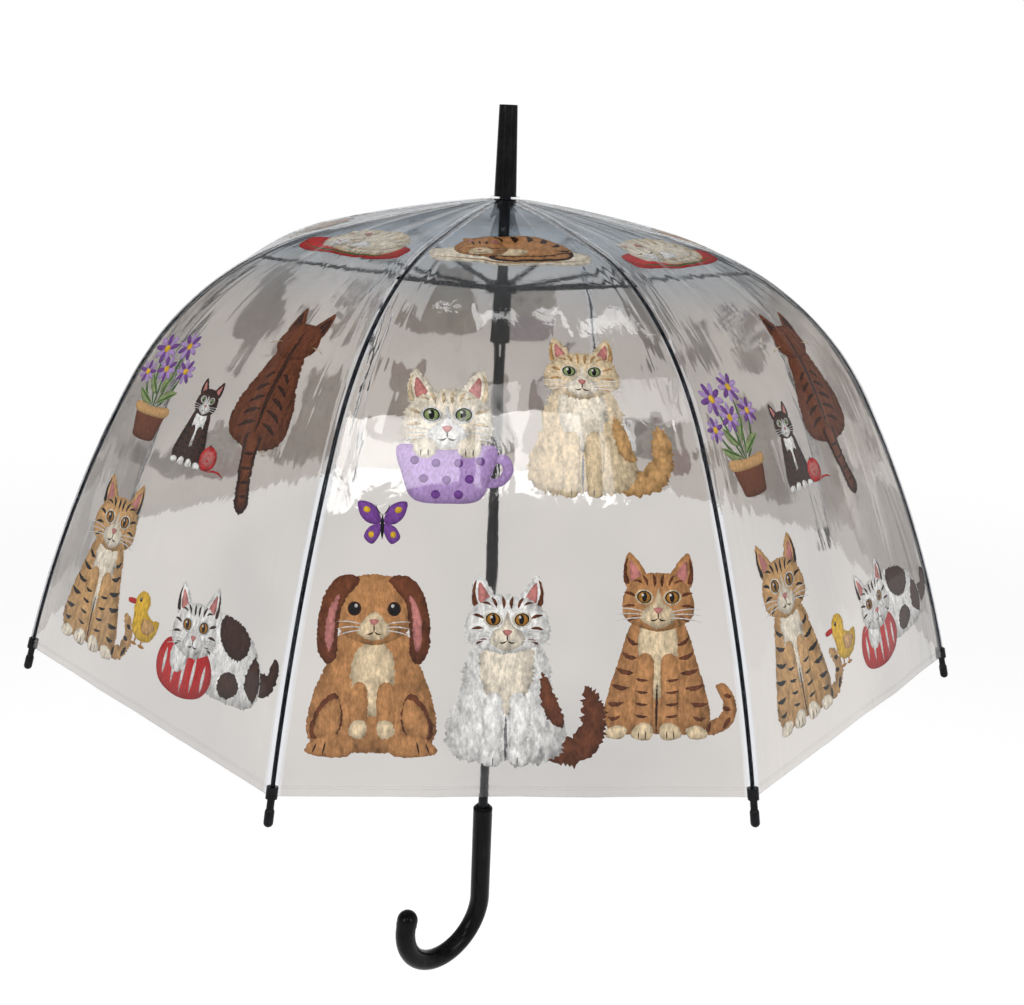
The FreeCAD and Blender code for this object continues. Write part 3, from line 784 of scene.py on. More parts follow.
def moved(layers, x, y, scale=1.0, turn=0.0):
    """A motif's layers at another place, size and tilt."""
    c, s = math.cos(math.radians(turn)) * scale, math.sin(math.radians(turn)) * scale
    return [
        (ink, shag * scale, [(x + a * c - b * s, y + a * s + b * c) for a, b in points])
        for ink, shag, points in layers
    ]


def cat_face(coat, pale, marks, iris, shag, ruff=1.0):
    """A cat's head seen from the front, 54 mm wide, centred on the bridge of its nose."""
    w = ruff
    layers = both(coat, shag, [(8, 14), (12, 24), (22, 35), (26, 24), (25, 10), (16, 6)])
    layers += both("pink", 0.4, [(13, 16), (16, 23), (21, 29), (22, 20), (20, 13)])
    layers += both(marks, 0.5, [(22, 12), (24, 22), (23, 31), (26, 25), (26, 13)])
    layers += [(coat, shag, [
        (0, 20), (13, 18), (23 * w, 9), (27 * w, -3), (25 * w, -14), (14, -21), (0, -24),
        (-14, -21), (-25 * w, -14), (-27 * w, -3), (-23 * w, 9), (-13, 18),
    ])]
    for x, y, u, v, t in (
        (3, 9, 4, 19, 2.6), (8, 10, 12, 18, 2.4), (17, 2, 26, 5, 2.4), (17, -5, 27, -6, 2.2),
        (15, -13, 23, -17, 2.4), (12, 12, 19, 14, 1.8),
    ):
        layers += both(marks, 0.3, stroke(x, y, u, v, t, 0.8))
    layers += both(pale, 0.5, oval(10.5, 1.5, 7.2, 5.8, 12))
    layers += [(pale, 0.6, whole([(0, 8), (3.5, -2), (11, -8), (13, -15), (6, -20), (0, -22)]))]
    layers += both("black", 0.0, oval(10.6, 1.6, 5.6, 4.7, 14))
    layers += both(iris, 0.0, oval(10.6, 1.4, 4.6, 4.0, 12))
    layers += both("black", 0.0, oval(10.4, 1.6, 1.9, 3.6, 0, 10))
    layers += [("white", 0.0, oval(9.2, 3.2, 1.0, 1.0, 0, 8))]
    layers += [("white", 0.0, oval(-11.8, 3.2, 1.0, 1.0, 0, 8))]
    layers += [("pink", 0.0, [(-3.6, -7), (0, -6), (3.6, -7), (1.6, -10), (0, -11), (-1.6, -10)])]
    layers += [("umber", 0.0, stroke(0, -10, 0, -14.5, 1.1))]
    layers += both("umber", 0.0, stroke(0, -14, 6.2, -15.4, 1.2, -1.1))
    for y, v in ((-10, -7), (-12, -12), (-14, -17)):
        layers += both("white", 0.0, stroke(8, y, 33, v, 0.8, 1.2))
    return layers


def seated_cat(coat, pale, marks, iris, shag=0.7, ruff=1.0):
    """A cat sitting up, seen from the front, 132 mm tall."""
    layers = [(coat, shag * 1.5, [
        (20, 6), (34, 0), (50, 3), (59, 14), (58, 29), (50, 39), (44, 36), (49, 26), (48, 16),
        (40, 11), (28, 14),
    ])]
    for x, y, u, v in ((50, 5, 55, 14), (55, 19, 49, 21), (56, 29, 50, 30), (38, 1, 40, 10)):
        layers += [(marks, 0.4, stroke(x, y, u, v, 3.4))]
    layers += [(coat, shag, whole([
        (0, 98), (14, 92), (23, 76), (29, 56), (36, 34), (40, 14), (34, 3), (18, 0), (0, 1),
    ]))]
    for x, y, u, v, t in (
        (27, 62, 15, 57, 3.4), (31, 50, 17, 46, 3.6), (35, 38, 21, 35, 3.6), (38, 24, 25, 24, 3.4),
        (37, 13, 27, 14, 3.0), (23, 73, 14, 67, 3.0),
    ):
        layers += both(marks, 0.6, stroke(x, y, u, v, t, 1.6))
    layers += [(pale, shag * 1.6, whole([
        (0, 90), (12, 82), (15, 66), (12, 48), (6, 34), (0, 26),
    ]))]
    layers += both(coat, shag * 0.6, [
        (3, 56), (12, 60), (17, 46), (16, 26), (17, 8), (15, -2), (6, -3), (3, 4), (3, 30),
    ])
    for y in (42, 33, 24, 15):
        layers += both(marks, 0.3, stroke(16.5, y, 6.5, y - 1.5, 2.2, 0.8))
    layers += [("umber", 0.3, stroke(0, 40, 0, 0, 1.8))]
    layers += both(pale, 0.5, [(3, 6), (10, 9), (17, 5), (19, -1), (12, -4), (4, -3)])
    layers += both("umber", 0.0, stroke(8, 3, 8, -3.5, 0.9))
    layers += both("umber", 0.0, stroke(13, 3, 13.4, -3.2, 0.9))
    layers += both(pale, 0.5, [(22, 4), (30, 7), (38, 3), (37, -2), (26, -3)])
    return layers + moved(cat_face(coat, pale, marks, iris, shag, ruff), 0, 101)


def long_haired_cat(coat, patch, iris):
    """A long-haired cat sitting with its plume of a tail beside it, 140 mm tall."""
    layers = [(patch, 3.4, [
        (24, 4), (46, -2), (66, 6), (74, 26), (70, 48), (60, 56), (56, 44), (56, 28), (46, 18),
        (32, 20),
    ])]
    layers += [(coat, 3.2, whole([
        (0, 100), (20, 92), (31, 72), (35, 48), (44, 26), (40, 6), (22, -1), (0, 0),
    ]))]
    layers += [(patch, 2.4, [(26, 66), (38, 44), (43, 26), (32, 30), (25, 46)])]
    layers += [("ivory", 2.8, whole([(0, 92), (17, 84), (20, 66), (13, 46), (0, 34)]))]
    layers += both(coat, 1.4, [(3, 46), (13, 50), (18, 36), (16, 14), (17, -2), (5, -3), (3, 10)])
    layers += [("grey", 0.6, stroke(0, 34, 0, 0, 2.2))]
    layers += both("grey", 0.2, stroke(9, 3, 9, -3.5, 1.0))
    face = moved(cat_face(coat, "ivory", patch, iris, 2.0, 1.16), 0, 103)
    return layers + face


def rabbit(coat, pale, marks):
    """A lop-eared rabbit sitting up, 122 mm tall."""
    layers = [(coat, 1.0, whole([
        (0, 92), (20, 84), (31, 62), (41, 36), (44, 14), (34, 2), (0, -1),
    ]))]
    layers += both(marks, 1.0, [(26, 40), (37, 30), (42, 12), (32, 6), (22, 14), (20, 28)])
    layers += both(coat, 0.9, [(24, 36), (35, 28), (39, 13), (31, 8), (23, 14), (21, 26)])
    layers += [(pale, 1.6, [(0, 78), (13, 66), (14, 46), (8, 26), (-8, 26), (-14, 46), (-13, 66)])]
    layers += both(coat, 0.7, [(4, 44), (12, 47), (16, 34), (14, 16), (5, 13), (3, 26)])
    layers += both(pale, 0.6, [(4, 20), (12, 21), (16, 14), (12, 9), (5, 10)])
    layers += both(coat, 0.8, [(12, 9), (28, 12), (42, 6), (44, -1), (28, -4), (14, -2)])
    layers += both("umber", 0.0, stroke(37, 6, 40, -1.5, 1.2))
    layers += both("umber", 0.0, stroke(31, 7, 33, -2.5, 1.2))
    layers += [(coat, 0.8, whole([
        (0, 122), (15, 119), (24, 108), (27, 94), (22, 82), (10, 75), (0, 73),
    ]))]
    layers += both(marks, 0.9, [
        (10, 118), (22, 121), (33, 110), (38, 90), (38, 70), (31, 60), (25, 66), (24, 84),
        (21, 102),
    ])
    layers += both("pink", 0.8, [(24, 108), (31, 96), (33, 78), (30, 68), (27, 78), (26, 94)])
    layers += [(pale, 0.6, whole([(0, 96), (8, 89), (11, 81), (0, 76)]))]
    layers += both("umber", 0.0, oval(13.5, 98, 4.6, 5.0))
    layers += both("black", 0.0, oval(13.5, 98, 3.6, 4.1))
    layers += both("white", 0.0, oval(12.4, 100, 1.1, 1.2, 0, 8))
    layers += [("pink", 0.0, [(-3.4, 90), (0, 91), (3.4, 90), (0, 86.4)])]
    layers += [("umber", 0.0, stroke(0, 87, 0, 82, 1.1))]
    layers += both("umber", 0.0, stroke(0, 82.4, 5.2, 80.4, 1.1, -0.8))
    for y, v in ((87, 89), (85, 84), (83, 79)):
        layers += both("white", 0.0, stroke(8, y, 25, v, 0.8, 1.0))
    return layers


def yarn_ball(x, y, radius, ink, strand):
    """A ball of wool with its loose end."""
    foot = y - radius
    layers = [(ink, 0.3, stroke(x + radius * 0.4, foot, x + radius * 2.3, foot, 2.2, 3))]
    layers += [(ink, 0.5, oval(x, y, radius, radius, 0, 20))]
    for turn in (-62, -34, -8, 22, 52):
        c, s = math.cos(math.radians(turn)) * 0.9, math.sin(math.radians(turn)) * 0.9
        for bow in (-0.34, 0.05, 0.42):
            layers += [(strand, 0.0, stroke(
                x - radius * c, y - radius * s, x + radius * c, y + radius * s, 1.1, bow * radius
            ))]
    return layers


def sleeping_cat(coat, pale, marks, cushion, piping):
    """A cat asleep in a ring on a flat cushion, 150 mm long."""
    layers = [(cushion, 0.4, [
        (-76, 8), (-70, 22), (-30, 30), (30, 30), (70, 22), (76, 8), (66, -6), (0, -12), (-66, -6),
    ])]
    layers += [(piping, 0.0, stroke(-74, 6, 74, 6, 3.0, -12))]
    layers += [(coat, 1.2, [
        (-52, 16), (-50, 36), (-34, 54), (-6, 64), (24, 62), (48, 48), (60, 28), (56, 10), (36, 2),
        (0, 0), (-36, 4),
    ])]
    for x, y, u, v, t in (
        (-14, 63, -8, 42, 6), (2, 65, 6, 44, 6), (18, 63, 19, 44, 6), (34, 57, 30, 40, 6),
        (48, 47, 40, 34, 5), (58, 31, 46, 26, 5),
    ):
        layers += [(marks, 0.9, stroke(x, y, u, v, t, 2.0))]
    layers += [(marks, 1.0, [(60, 24), (57, 8), (36, -2), (2, -4), (-20, 0), (-16, 9), (4, 8),
                             (34, 10), (48, 20)])]
    layers += [(coat, 1.0, [(56, 20), (54, 10), (34, 2), (6, 0), (-14, 3), (-12, 7), (6, 6),
                            (34, 8), (48, 17)])]
    layers += [(pale, 0.8, [(-20, 22), (0, 26), (16, 20), (12, 11), (-8, 9), (-24, 12)])]
    layers += [(coat, 0.9, [(-40, 34), (-44, 54), (-28, 44)]),
               (coat, 0.9, [(-22, 44), (-12, 58), (-6, 38)]),
               ("pink", 0.3, [(-38, 37), (-40.5, 48), (-31, 42)]),
               ("pink", 0.3, [(-19, 43), (-13, 52), (-9, 39)])]
    layers += [(coat, 0.9, [(-52, 22), (-46, 38), (-28, 45), (-10, 40), (-2, 24), (-12, 10),
                            (-32, 5), (-48, 10)])]
    layers += [(pale, 0.6, [(-34, 22), (-20, 24), (-16, 14), (-28, 7), (-40, 10)])]
    for x, y, u, v in ((-36, 42, -34, 33), (-29, 44, -28, 35), (-22, 43, -22, 34),
                       (-8, 28, -15, 26), (-6, 21, -14, 20)):
        layers += [(marks, 0.3, stroke(x, y, u, v, 2.4))]
    layers += [("umber", 0.0, stroke(-42, 25, -33, 25, 1.7, -2.4)),
               ("umber", 0.0, stroke(-22, 26, -12, 28, 1.7, -2.4)),
               ("pink", 0.0, oval(-29, 18, 2.6, 1.9, 0, 8)),
               ("umber", 0.0, stroke(-34, 12, -23, 13, 1.3, -1.6))]
    return layers


def kitten_in_cup(coat, pale, marks, cup, dots):
    """A kitten looking out of a dotted cup, 100 mm tall."""
    layers = [(cup, 0.0, [(30, 34), (44, 38), (50, 26), (42, 14), (26, 12), (28, 18), (38, 20),
                          (42, 27), (38, 31), (31, 28)])]
    layers += moved(cat_face(coat, pale, marks, "sage", 1.5, 1.1), 0, 66, 1.15)
    layers += [(cup, 0.0, [(-36, 44), (0, 40), (36, 44), (33, 20), (24, 2), (0, -1), (-24, 2),
                           (-33, 20)])]
    for x, y in ((-24, 32), (-8, 30), (9, 30), (25, 32), (-17, 18), (0, 17), (17, 18), (-8, 6),
                 (9, 6)):
        layers += [(dots, 0.0, oval(x, y, 3.4, 3.4, 0, 10))]
    layers += both(coat, 0.8, [(8, 46), (16, 50), (24, 47), (25, 38), (17, 34), (9, 37)])
    for x in (14, 19.5):
        layers += both("umber", 0.0, stroke(x, 41, x, 35, 0.9))
    return layers


def cat_from_behind(coat, marks, pale):
    """A cat sitting with its back turned and its tail hanging down, 165 mm tall."""
    layers = [(coat, 1.6, [
        (0, 144), (14, 138), (19, 122), (25, 104), (34, 82), (37, 62), (30, 48), (12, 42),
        (-12, 42), (-30, 48), (-37, 62), (-34, 82), (-25, 104), (-19, 122), (-14, 138),
    ])]
    layers += both(coat, 0.9, [(5, 152), (11, 165), (18, 174), (22, 160), (21, 148)])
    layers += both(marks, 0.7, [(10, 153), (14, 163), (18, 168), (20, 158), (18, 150)])
    layers += [(coat, 1.2, whole([
        (0, 158), (15, 155), (23, 144), (23, 132), (13, 124), (0, 122),
    ]))]
    for y, reach in ((108, 15), (97, 19), (86, 22), (75, 24), (64, 24)):
        layers += both(marks, 1.0, stroke(4, y, reach, y - 8, 3.6, 1.6))
    layers += [(marks, 1.0, stroke(0, 152, 0, 52, 5.0))]
    layers += [(marks, 1.6, [
        (-9, 52), (9, 52), (11, 34), (15, 16), (21, -2), (16, -12), (6, -8), (1, 8), (-5, 28),
    ])]
    layers += [(coat, 1.2, [
        (-6, 52), (6, 52), (8, 34), (12, 16), (17, 0), (15, -8), (9, -5), (4, 10), (-2, 28),
    ])]
    for x, y, u, v in ((-4, 36, 8, 38), (-1, 24, 11, 26), (3, 12, 14, 15), (8, 1, 17, 4)):
        layers += [(marks, 0.4, stroke(x, y, u, v, 3.0))]
    layers += both(pale, 0.4, stroke(18, 137, 34, 133, 0.9, 1))
    return layers


def flower_pot(petals, heart, pot, band):
    """Daisies in a small pot, 105 mm tall."""
    layers = []
    for x, y, bow in ((-16, 84, 3), (14, 92, -3), (-2, 66, 0), (25, 68, -5), (-27, 60, 4)):
        layers += [("leaf", 0.2, stroke(0, 26, x, y, 2.6, bow))]
    for x, y, u, v in ((-4, 32, -28, 44), (3, 34, 27, 48), (-2, 42, -18, 60), (3, 44, 14, 66)):
        layers += [("sage", 0.3, stroke(x, y, u, v, 8, 2)), ("leaf", 0.0, stroke(x, y, u, v, 2))]
    for x, y, size in ((-16, 86, 15), (15, 93, 14), (-2, 67, 13), (27, 69, 12), (-28, 60, 11)):
        for petal in range(9):
            turn = petal * 40.0 + x
            c, s = math.cos(math.radians(turn)), math.sin(math.radians(turn))
            layers += [(petals[petal % 2], 0.2, oval(
                x + c * size * 0.62, y + s * size * 0.62, size * 0.44, size * 0.19, turn, 10
            ))]
        layers += [(heart, 0.6, oval(x, y, size * 0.27, size * 0.27, 0, 10))]
    layers += [(pot, 0.0, [(-21, 28), (0, 26), (21, 28), (18, 8), (13, -1), (-13, -1), (-18, 8)])]
    layers += [(band, 0.0, [(-24, 32), (0, 30), (24, 32), (23, 23), (0, 21), (-23, 23)])]
    return layers


def duckling():
    """A duckling, 62 mm tall."""
    layers = [("amber", 0.2, stroke(-4, 8, -6, -4, 3)), ("amber", 0.2, stroke(8, 8, 8, -4, 3))]
    layers += [("amber", 0.2, stroke(-14, -4, 0, -4, 4)), ("amber", 0.2, stroke(2, -4, 16, -4, 4))]
    layers += [("yellow", 1.4, [
        (-22, 44), (-14, 58), (0, 60), (9, 50), (8, 38), (20, 32), (34, 34), (31, 16), (18, 4),
        (-2, 3), (-16, 12), (-18, 28),
    ])]
    layers += [("gold", 1.0, [(2, 28), (16, 30), (27, 24), (18, 13), (4, 14)])]
    layers += [("red", 0.0, [(-22, 47), (-36, 45), (-35, 40), (-21, 41)])]
    layers += [("black", 0.0, oval(-11, 49, 2.6, 3.0, 0, 10)),
               ("white", 0.0, oval(-11.8, 50.2, 0.9, 0.9, 0, 8))]
    return layers


def lying_cat(coat, patch, iris, cushion, stripes):
    """A cat lying with its chin and paws on a round cushion, 125 mm long."""
    layers = [(patch, 2.0, [(40, 24), (58, 18), (70, 26), (72, 42), (64, 50), (62, 36), (50, 34)])]
    layers += [(coat, 1.6, [
        (-30, 20), (-26, 48), (-6, 62), (22, 60), (44, 48), (56, 28), (54, 10), (34, 2), (-10, 2),
    ])]
    layers += [(patch, 1.5, [(0, 61), (20, 61), (36, 52), (30, 36), (12, 36), (0, 46)]),
               (patch, 1.5, [(46, 44), (56, 26), (52, 12), (40, 20), (40, 34)]),
               (patch, 1.3, [(12, 20), (26, 24), (34, 14), (22, 4), (10, 8)])]
    layers += [(cushion, 0.0, [
        (-66, 8), (-58, 26), (-34, 33), (-8, 27), (2, 10), (-8, -6), (-34, -13), (-58, -8),
    ])]
    for x in (-56, -44, -32, -20, -8):
        short = abs(x + 32) * 0.3
        layers += [(stripes, 0.0, stroke(x, 26 - short, x, -9 + short, 3.4))]
    layers += [(coat, 1.0, [(-50, 24), (-40, 32), (-30, 26), (-32, 12), (-40, 4), (-50, 10)])]
    face = cat_face(coat, "white", patch, iris, 1.2, 1.02)
    return layers + moved(face, -30, 42, 0.95, 8)


def butterfly(wing, spot):
    """A butterfly, 40 mm wide."""
    layers = both(wing, 0.2, [(1, 3), (7, 17), (20, 20), (18, 8), (10, 1)])
    layers += both(wing, 0.2, [(1, 1), (10, -1), (15, -10), (8, -16), (2, -8)])
    layers += both(spot, 0.0, oval(13, 13, 3.2, 2.6, 30, 10))
    layers += both(spot, 0.0, oval(9, -8, 2.4, 2.8, 0, 10))
    layers += [("black", 0.0, stroke(0, 9, 0, -12, 3))]
    layers += both("black", 0.0, stroke(0, 8, 6, 18, 0.9, -1))
    return layers


SHAGGY = 0.2
COARSE_STEP = 2.2
FINE_STEP = 1.5
TUFT_SCALE = 0.45
STRAND_SHARE = 0.7
TUFT_HEIGHT = 1.1
TUFT_DROOP = 0.35


def smooth_outline(points, shag, seed):
    """A closed smooth curve through the points, roughened into tufts of fur."""
    found, count = [], len(points)
    for i in range(count):
        p0, p1, p2, p3 = (Vector(points[(i + k) % count]) for k in (-1, 0, 1, 2))
        step_length = FINE_STEP if shag > SHAGGY else COARSE_STEP
        steps = max(2, min(24, round((p2 - p1).length / step_length)))
        for step in range(steps):
            t = step / steps
            found.append(0.5 * (
                2.0 * p1 + (p2 - p0) * t + (2.0 * p0 - 5.0 * p1 + 4.0 * p2 - p3) * t * t
                + (3.0 * p1 - p0 - 3.0 * p2 + p3) * t**3
            ))
    if shag < 0.1:
        return found
    rough, size = [], len(found)
    for i, point in enumerate(found):
        along = found[(i + 1) % size] - found[i - 1]
        side = Vector((along.y, -along.x)).normalized()
        tuft = noise.noise(Vector((point.x * TUFT_SCALE, point.y * TUFT_SCALE, seed)))
        strand = abs(noise.noise(Vector((point.x, point.y, seed))))
        tuft += STRAND_SHARE * (-1.0 if i % 2 else 1.0) * strand
        droop = Vector((0.0, -TUFT_DROOP * shag * abs(tuft)))
        rough.append(point + side * shag * TUFT_HEIGHT * tuft + droop)
    return rough


RIM_SHADE = 0.42
RIM_WIDTH = 0.12
TOP_LIGHT = 0.22
SIDE_SHADE = 0.14
MOTTLE = 0.42
FINE_MOTTLE = 0.25
DARKEST = 0.15


def ink_over(points, layer, outline, seed):
    """A layer's colour over some points: darker at its edge and foot, mottled like fur."""
    ink, shag, _ = layer
    low, high = outline.min(axis=0), outline.max(axis=0)
    size = np.maximum(high - low, 1.0)
    gaps = np.linalg.norm(points[:, None, :] - outline[None, :, :], axis=2).min(axis=1)
    rim = np.exp(-gaps / max(RIM_WIDTH * min(size), 0.5))
    rise, lean = (points[:, 1] - low[1]) / size[1] - 0.5, (points[:, 0] - low[0]) / size[0] - 0.5
    light = 1.0 - RIM_SHADE * rim + TOP_LIGHT * rise - SIDE_SHADE * lean
    if shag > SHAGGY:
        light += [
            MOTTLE * noise.noise(Vector((x * 0.28, y * 0.10, seed)))
            + FINE_MOTTLE * noise.noise(Vector((x * 0.9, y * 0.3, seed + 5.0))) for x, y in points
        ]
    return np.maximum(light, DARKEST)[:, None] * np.array(INKS[ink])


def within(points, outline):
    """Which points lie inside an outline."""
    inside = np.zeros(len(points), bool)
    x, y = points[:, 0], points[:, 1]
    for (x0, y0), (x1, y1) in zip(outline, np.roll(outline, -1, axis=0)):
        if y0 != y1:
            crosses = ((y0 > y) != (y1 > y)) & (x < (x1 - x0) * (y - y0) / (y1 - y0) + x0)
            inside ^= crosses
    return inside


INK_GRID = 2.8


def inked(layers, seed):
    """A motif cut into triangles: points, triangles, and a colour at each corner."""
    outlines = [np.array(smooth_outline(points, shag, seed + i)) for i, (_, shag, points) in
                enumerate(layers)]
    spots, edges = [], []
    for outline in outlines:
        start, count = len(spots), len(outline)
        edges += [(start + i, start + (i + 1) % count) for i in range(count)]
        spots += [Vector(p) for p in outline]
    low, high = np.min(np.vstack(outlines), axis=0), np.max(np.vstack(outlines), axis=0)
    for row in range(int((high[1] - low[1]) / INK_GRID) + 1):
        for column in range(int((high[0] - low[0]) / INK_GRID) + 1):
            x = low[0] + (column + 0.5 * (row % 2)) * INK_GRID
            spots.append(Vector((x, low[1] + row * INK_GRID)))
    flat, _, triangles, _, _, _ = geometry.delaunay_2d_cdt(spots, edges, [], 0, 1e-4, False)
    corners, triangles = np.array(flat), np.array([list(t) for t in triangles])
    centres = corners[triangles].mean(axis=1)
    top = np.full(len(triangles), -1)
    for i, outline in enumerate(outlines):
        near = ((centres > outline.min(axis=0)) & (centres < outline.max(axis=0))).all(axis=1)
        near = np.flatnonzero(near)
        top[near[within(centres[near], outline)]] = i
    colours = np.zeros((len(triangles), 3, 3))
    for i, outline in enumerate(outlines):
        mine = np.flatnonzero(top == i)
        if len(mine):
            spread = corners[triangles[mine]].reshape(-1, 2)
            colours[mine] = ink_over(spread, layers[i], outline, seed).reshape(-1, 3, 3)
    kept = np.flatnonzero(top >= 0)
    used, renumbered = np.unique(triangles[kept], return_inverse=True)
    return corners[used], renumbered.reshape(-1, 3).tolist(), colours[kept].reshape(-1, 3).tolist()


def printed_ink():
    """Printing ink: the motif's own colours, broken up by fine strokes. It lets some light
    through, and only the face turned to the viewer shows."""
    material, nodes, links, surface = new_material("printed_ink")
    tune(surface, Specular_IOR_Level=0.0, Coat_Weight=1.0, Coat_Roughness=0.04)
    ink = add(nodes, "ShaderNodeAttribute", attribute_name="ink")
    place = nodes.new("ShaderNodeTexCoord")
    strands = add(nodes, "ShaderNodeMapping", Scale=(1.0, 1.0, 0.28))
    fur = add(nodes, "ShaderNodeTexNoise", Scale=620.0, Detail=4.0, Roughness=0.7)
    depth = add(
        nodes, "ShaderNodeMapRange", From_Min=0.3, From_Max=0.7, To_Min=0.62, To_Max=1.22
    )
    shade = add(nodes, "ShaderNodeVectorMath", operation="SCALE")
    gloss = add(nodes, "ShaderNodeMapRange", To_Min=0.28, To_Max=0.5)
    glow = nodes.new("ShaderNodeBsdfTranslucent")
    thin = add(nodes, "ShaderNodeMixShader", Fac=0.3)
    within_ink = nodes.new("ShaderNodeNewGeometry")
    leave = nodes.new("ShaderNodeMixShader")
    clear = nodes.new("ShaderNodeBsdfTransparent")
    wire(
        links,
        (place, "Object", strands, "Vector"), (strands, "Vector", fur, "Vector"),
        (fur, "Fac", depth, "Value"), (ink, "Color", shade, 0),
        (depth, "Result", shade, "Scale"), (shade, "Vector", surface, "Base Color"),
        (fur, "Fac", gloss, "Value"), (gloss, "Result", surface, "Roughness"),
        (shade, "Vector", glow, "Color"), (surface, "BSDF", thin, 1), (glow, "BSDF", thin, 2),
        (within_ink, "Backfacing", leave, "Fac"), (thin, "Shader", leave, 1),
        (clear, "BSDF", leave, 2), (leave, "Shader", nodes["Material Output"], "Surface"),
    )
    return material


ink_finish = printed_ink()
INK_LIFT = 0.0005
INK_THICKNESS = 0.00006
UNDERCOAT = (0.86, 0.85, 0.84)
SHOW_THROUGH = 0.32


def undercoat(ink):
    """The inner side shows the white undercoat, with the ink only faintly through it."""
    return tuple(
        (1.0 - SHOW_THROUGH) * white + SHOW_THROUGH * value for white, value in zip(UNDERCOAT, ink)
    )


def printed(name, number, motifs):
    """The motifs of one gore part as one thin closed layer of ink on the film."""
    vertices, faces, colours = [], [], []
    for (flat, triangles, inks), x, length, scale in motifs:
        start, count = len(vertices), len(flat)
        for lift in (INK_LIFT, INK_LIFT + INK_THICKNESS):
            for point in flat:
                down = length - point[1] * scale / 1000.0
                half = dome_at(down, FILM_INSIDE)[0] * math.sin(HALF_STEP)
                across = (x + point[0] * scale) / 1000.0 / half
                vertices.append(film_point(number, across, down, lift))
        edges = {}
        for i, (a, b, c) in enumerate(triangles):
            faces.append([start + count + v for v in (a, b, c)])
            colours += inks[3 * i:3 * i + 3]
            faces.append([start + v for v in (c, b, a)])
            colours += [undercoat(ink) for ink in inks[3 * i:3 * i + 3][::-1]]
            for (u, v), ink in zip(((a, b), (b, c), (c, a)), inks[3 * i:3 * i + 3]):
                edges[u, v] = ink
        for (u, v), ink in edges.items():
            if (v, u) not in edges:
                faces.append([start + u, start + v, start + count + v, start + count + u])
                colours += [ink] * 4
    piece = new_piece(name, vertices, faces, ink_finish)
    paint = piece.data.color_attributes.new("ink", "FLOAT_COLOR", "CORNER")
    paint.data.foreach_set("color", [value for ink in colours for value in (*ink, 1.0)])
    piece.data.set_sharp_from_angle(angle=CREASE_ANGLE)
    return piece


hem = DOME_LENGTH
cat_tabby = inked(seated_cat("tan", "cream", "chestnut", "amber"), 1.0)
cat_long = inked(long_haired_cat("white", "chestnut", "amber"), 2.0)
cat_cream = inked(long_haired_cat("cream", "gold", "sage"), 3.0)
cat_asleep = inked(sleeping_cat("tan", "cream", "umber", "ivory", "gold"), 5.0)
cat_pale_asleep = inked(sleeping_cat("ivory", "white", "cream", "red", "leaf"), 6.0)
cat_back = inked(cat_from_behind("chestnut", "umber", "cream"), 7.0)
cat_lying = inked(lying_cat("white", "umber", "amber", "red", "white"), 8.0)
cat_grey = inked(seated_cat("gold", "ivory", "black", "amber", 1.4, 1.08), 9.0)
rabbit_brown = inked(rabbit("tan", "cream", "chestnut"), 10.0)
kitten_cup = inked(kitten_in_cup("ivory", "white", "cream", "lilac", "purple"), 11.0)
kitten_ball = inked(
    moved(seated_cat("umber", "white", "black", "sage", 1.0), -6, 0, 0.62)
    + yarn_ball(26, 11, 12, "red", "pink"), 12.0
)
pot = inked(flower_pot(("lilac", "purple"), "yellow", "chestnut", "gold"), 13.0)
duck = inked(duckling(), 14.0)
moth = inked(butterfly("purple", "yellow"), 15.0)

LOWER_SETS = (
    (
        (rabbit_brown, -96, hem - 0.030, 0.96), (cat_long, -8, hem - 0.024, 0.90),
        (cat_tabby, 93, hem - 0.042, 0.90), (kitten_cup, -50, hem - 0.196, 0.90),
        (cat_cream, 42, hem - 0.205, 0.84), (moth, -92, hem - 0.180, 0.8),
    ),
    (
        (cat_grey, -80, hem - 0.028, 0.98), (cat_lying, 76, hem - 0.040, 0.94),
        (pot, -82, hem - 0.196, 0.86), (cat_back, 46, hem - 0.178, 0.88),
        (duck, -14, hem - 0.050, 0.62), (kitten_ball, -14, hem - 0.188, 0.80),
    ),
)
UPPER_SETS = (
    ((cat_asleep, -4, BEND_LENGTH - 0.030, 0.80),),
    ((cat_pale_asleep, 2, BEND_LENGTH - 0.024, 0.78),),
)

for number in ribs:
    for half, sets in (("upper", UPPER_SETS), ("lower", LOWER_SETS)):
        piece = printed(f"print_{half}_{number}", number, sets[number % 2])
        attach(piece, f"gore_{half}_{number}")
        gather(piece)

# ---------------------------------------------------------------- cap, ferrule and handle
# A clear washer holds the film down on the notch. The ferrule and the crook handle are black
# plastic, glossy, and pushed on to the shaft's ends.

clear_cap = welded_film()
clear_cap.name = "clear_cap_vinyl"
gloss_black = scuffed(
    "gloss_black_plastic", (0.0035, 0.0035, 0.004), (0.008, 0.008, 0.009), 0.17, 0.28, 70, 1.0,
    0.06, sheen=0.09
)
dress(clear_cap, "canopy_cap")
dress(gloss_black, "ferrule", "handle", "handle_collar", "handle_end_cap")

# ---------------------------------------------------------------- stage
# A pale floor under the hanging object and a white surround, with soft studio lamps.

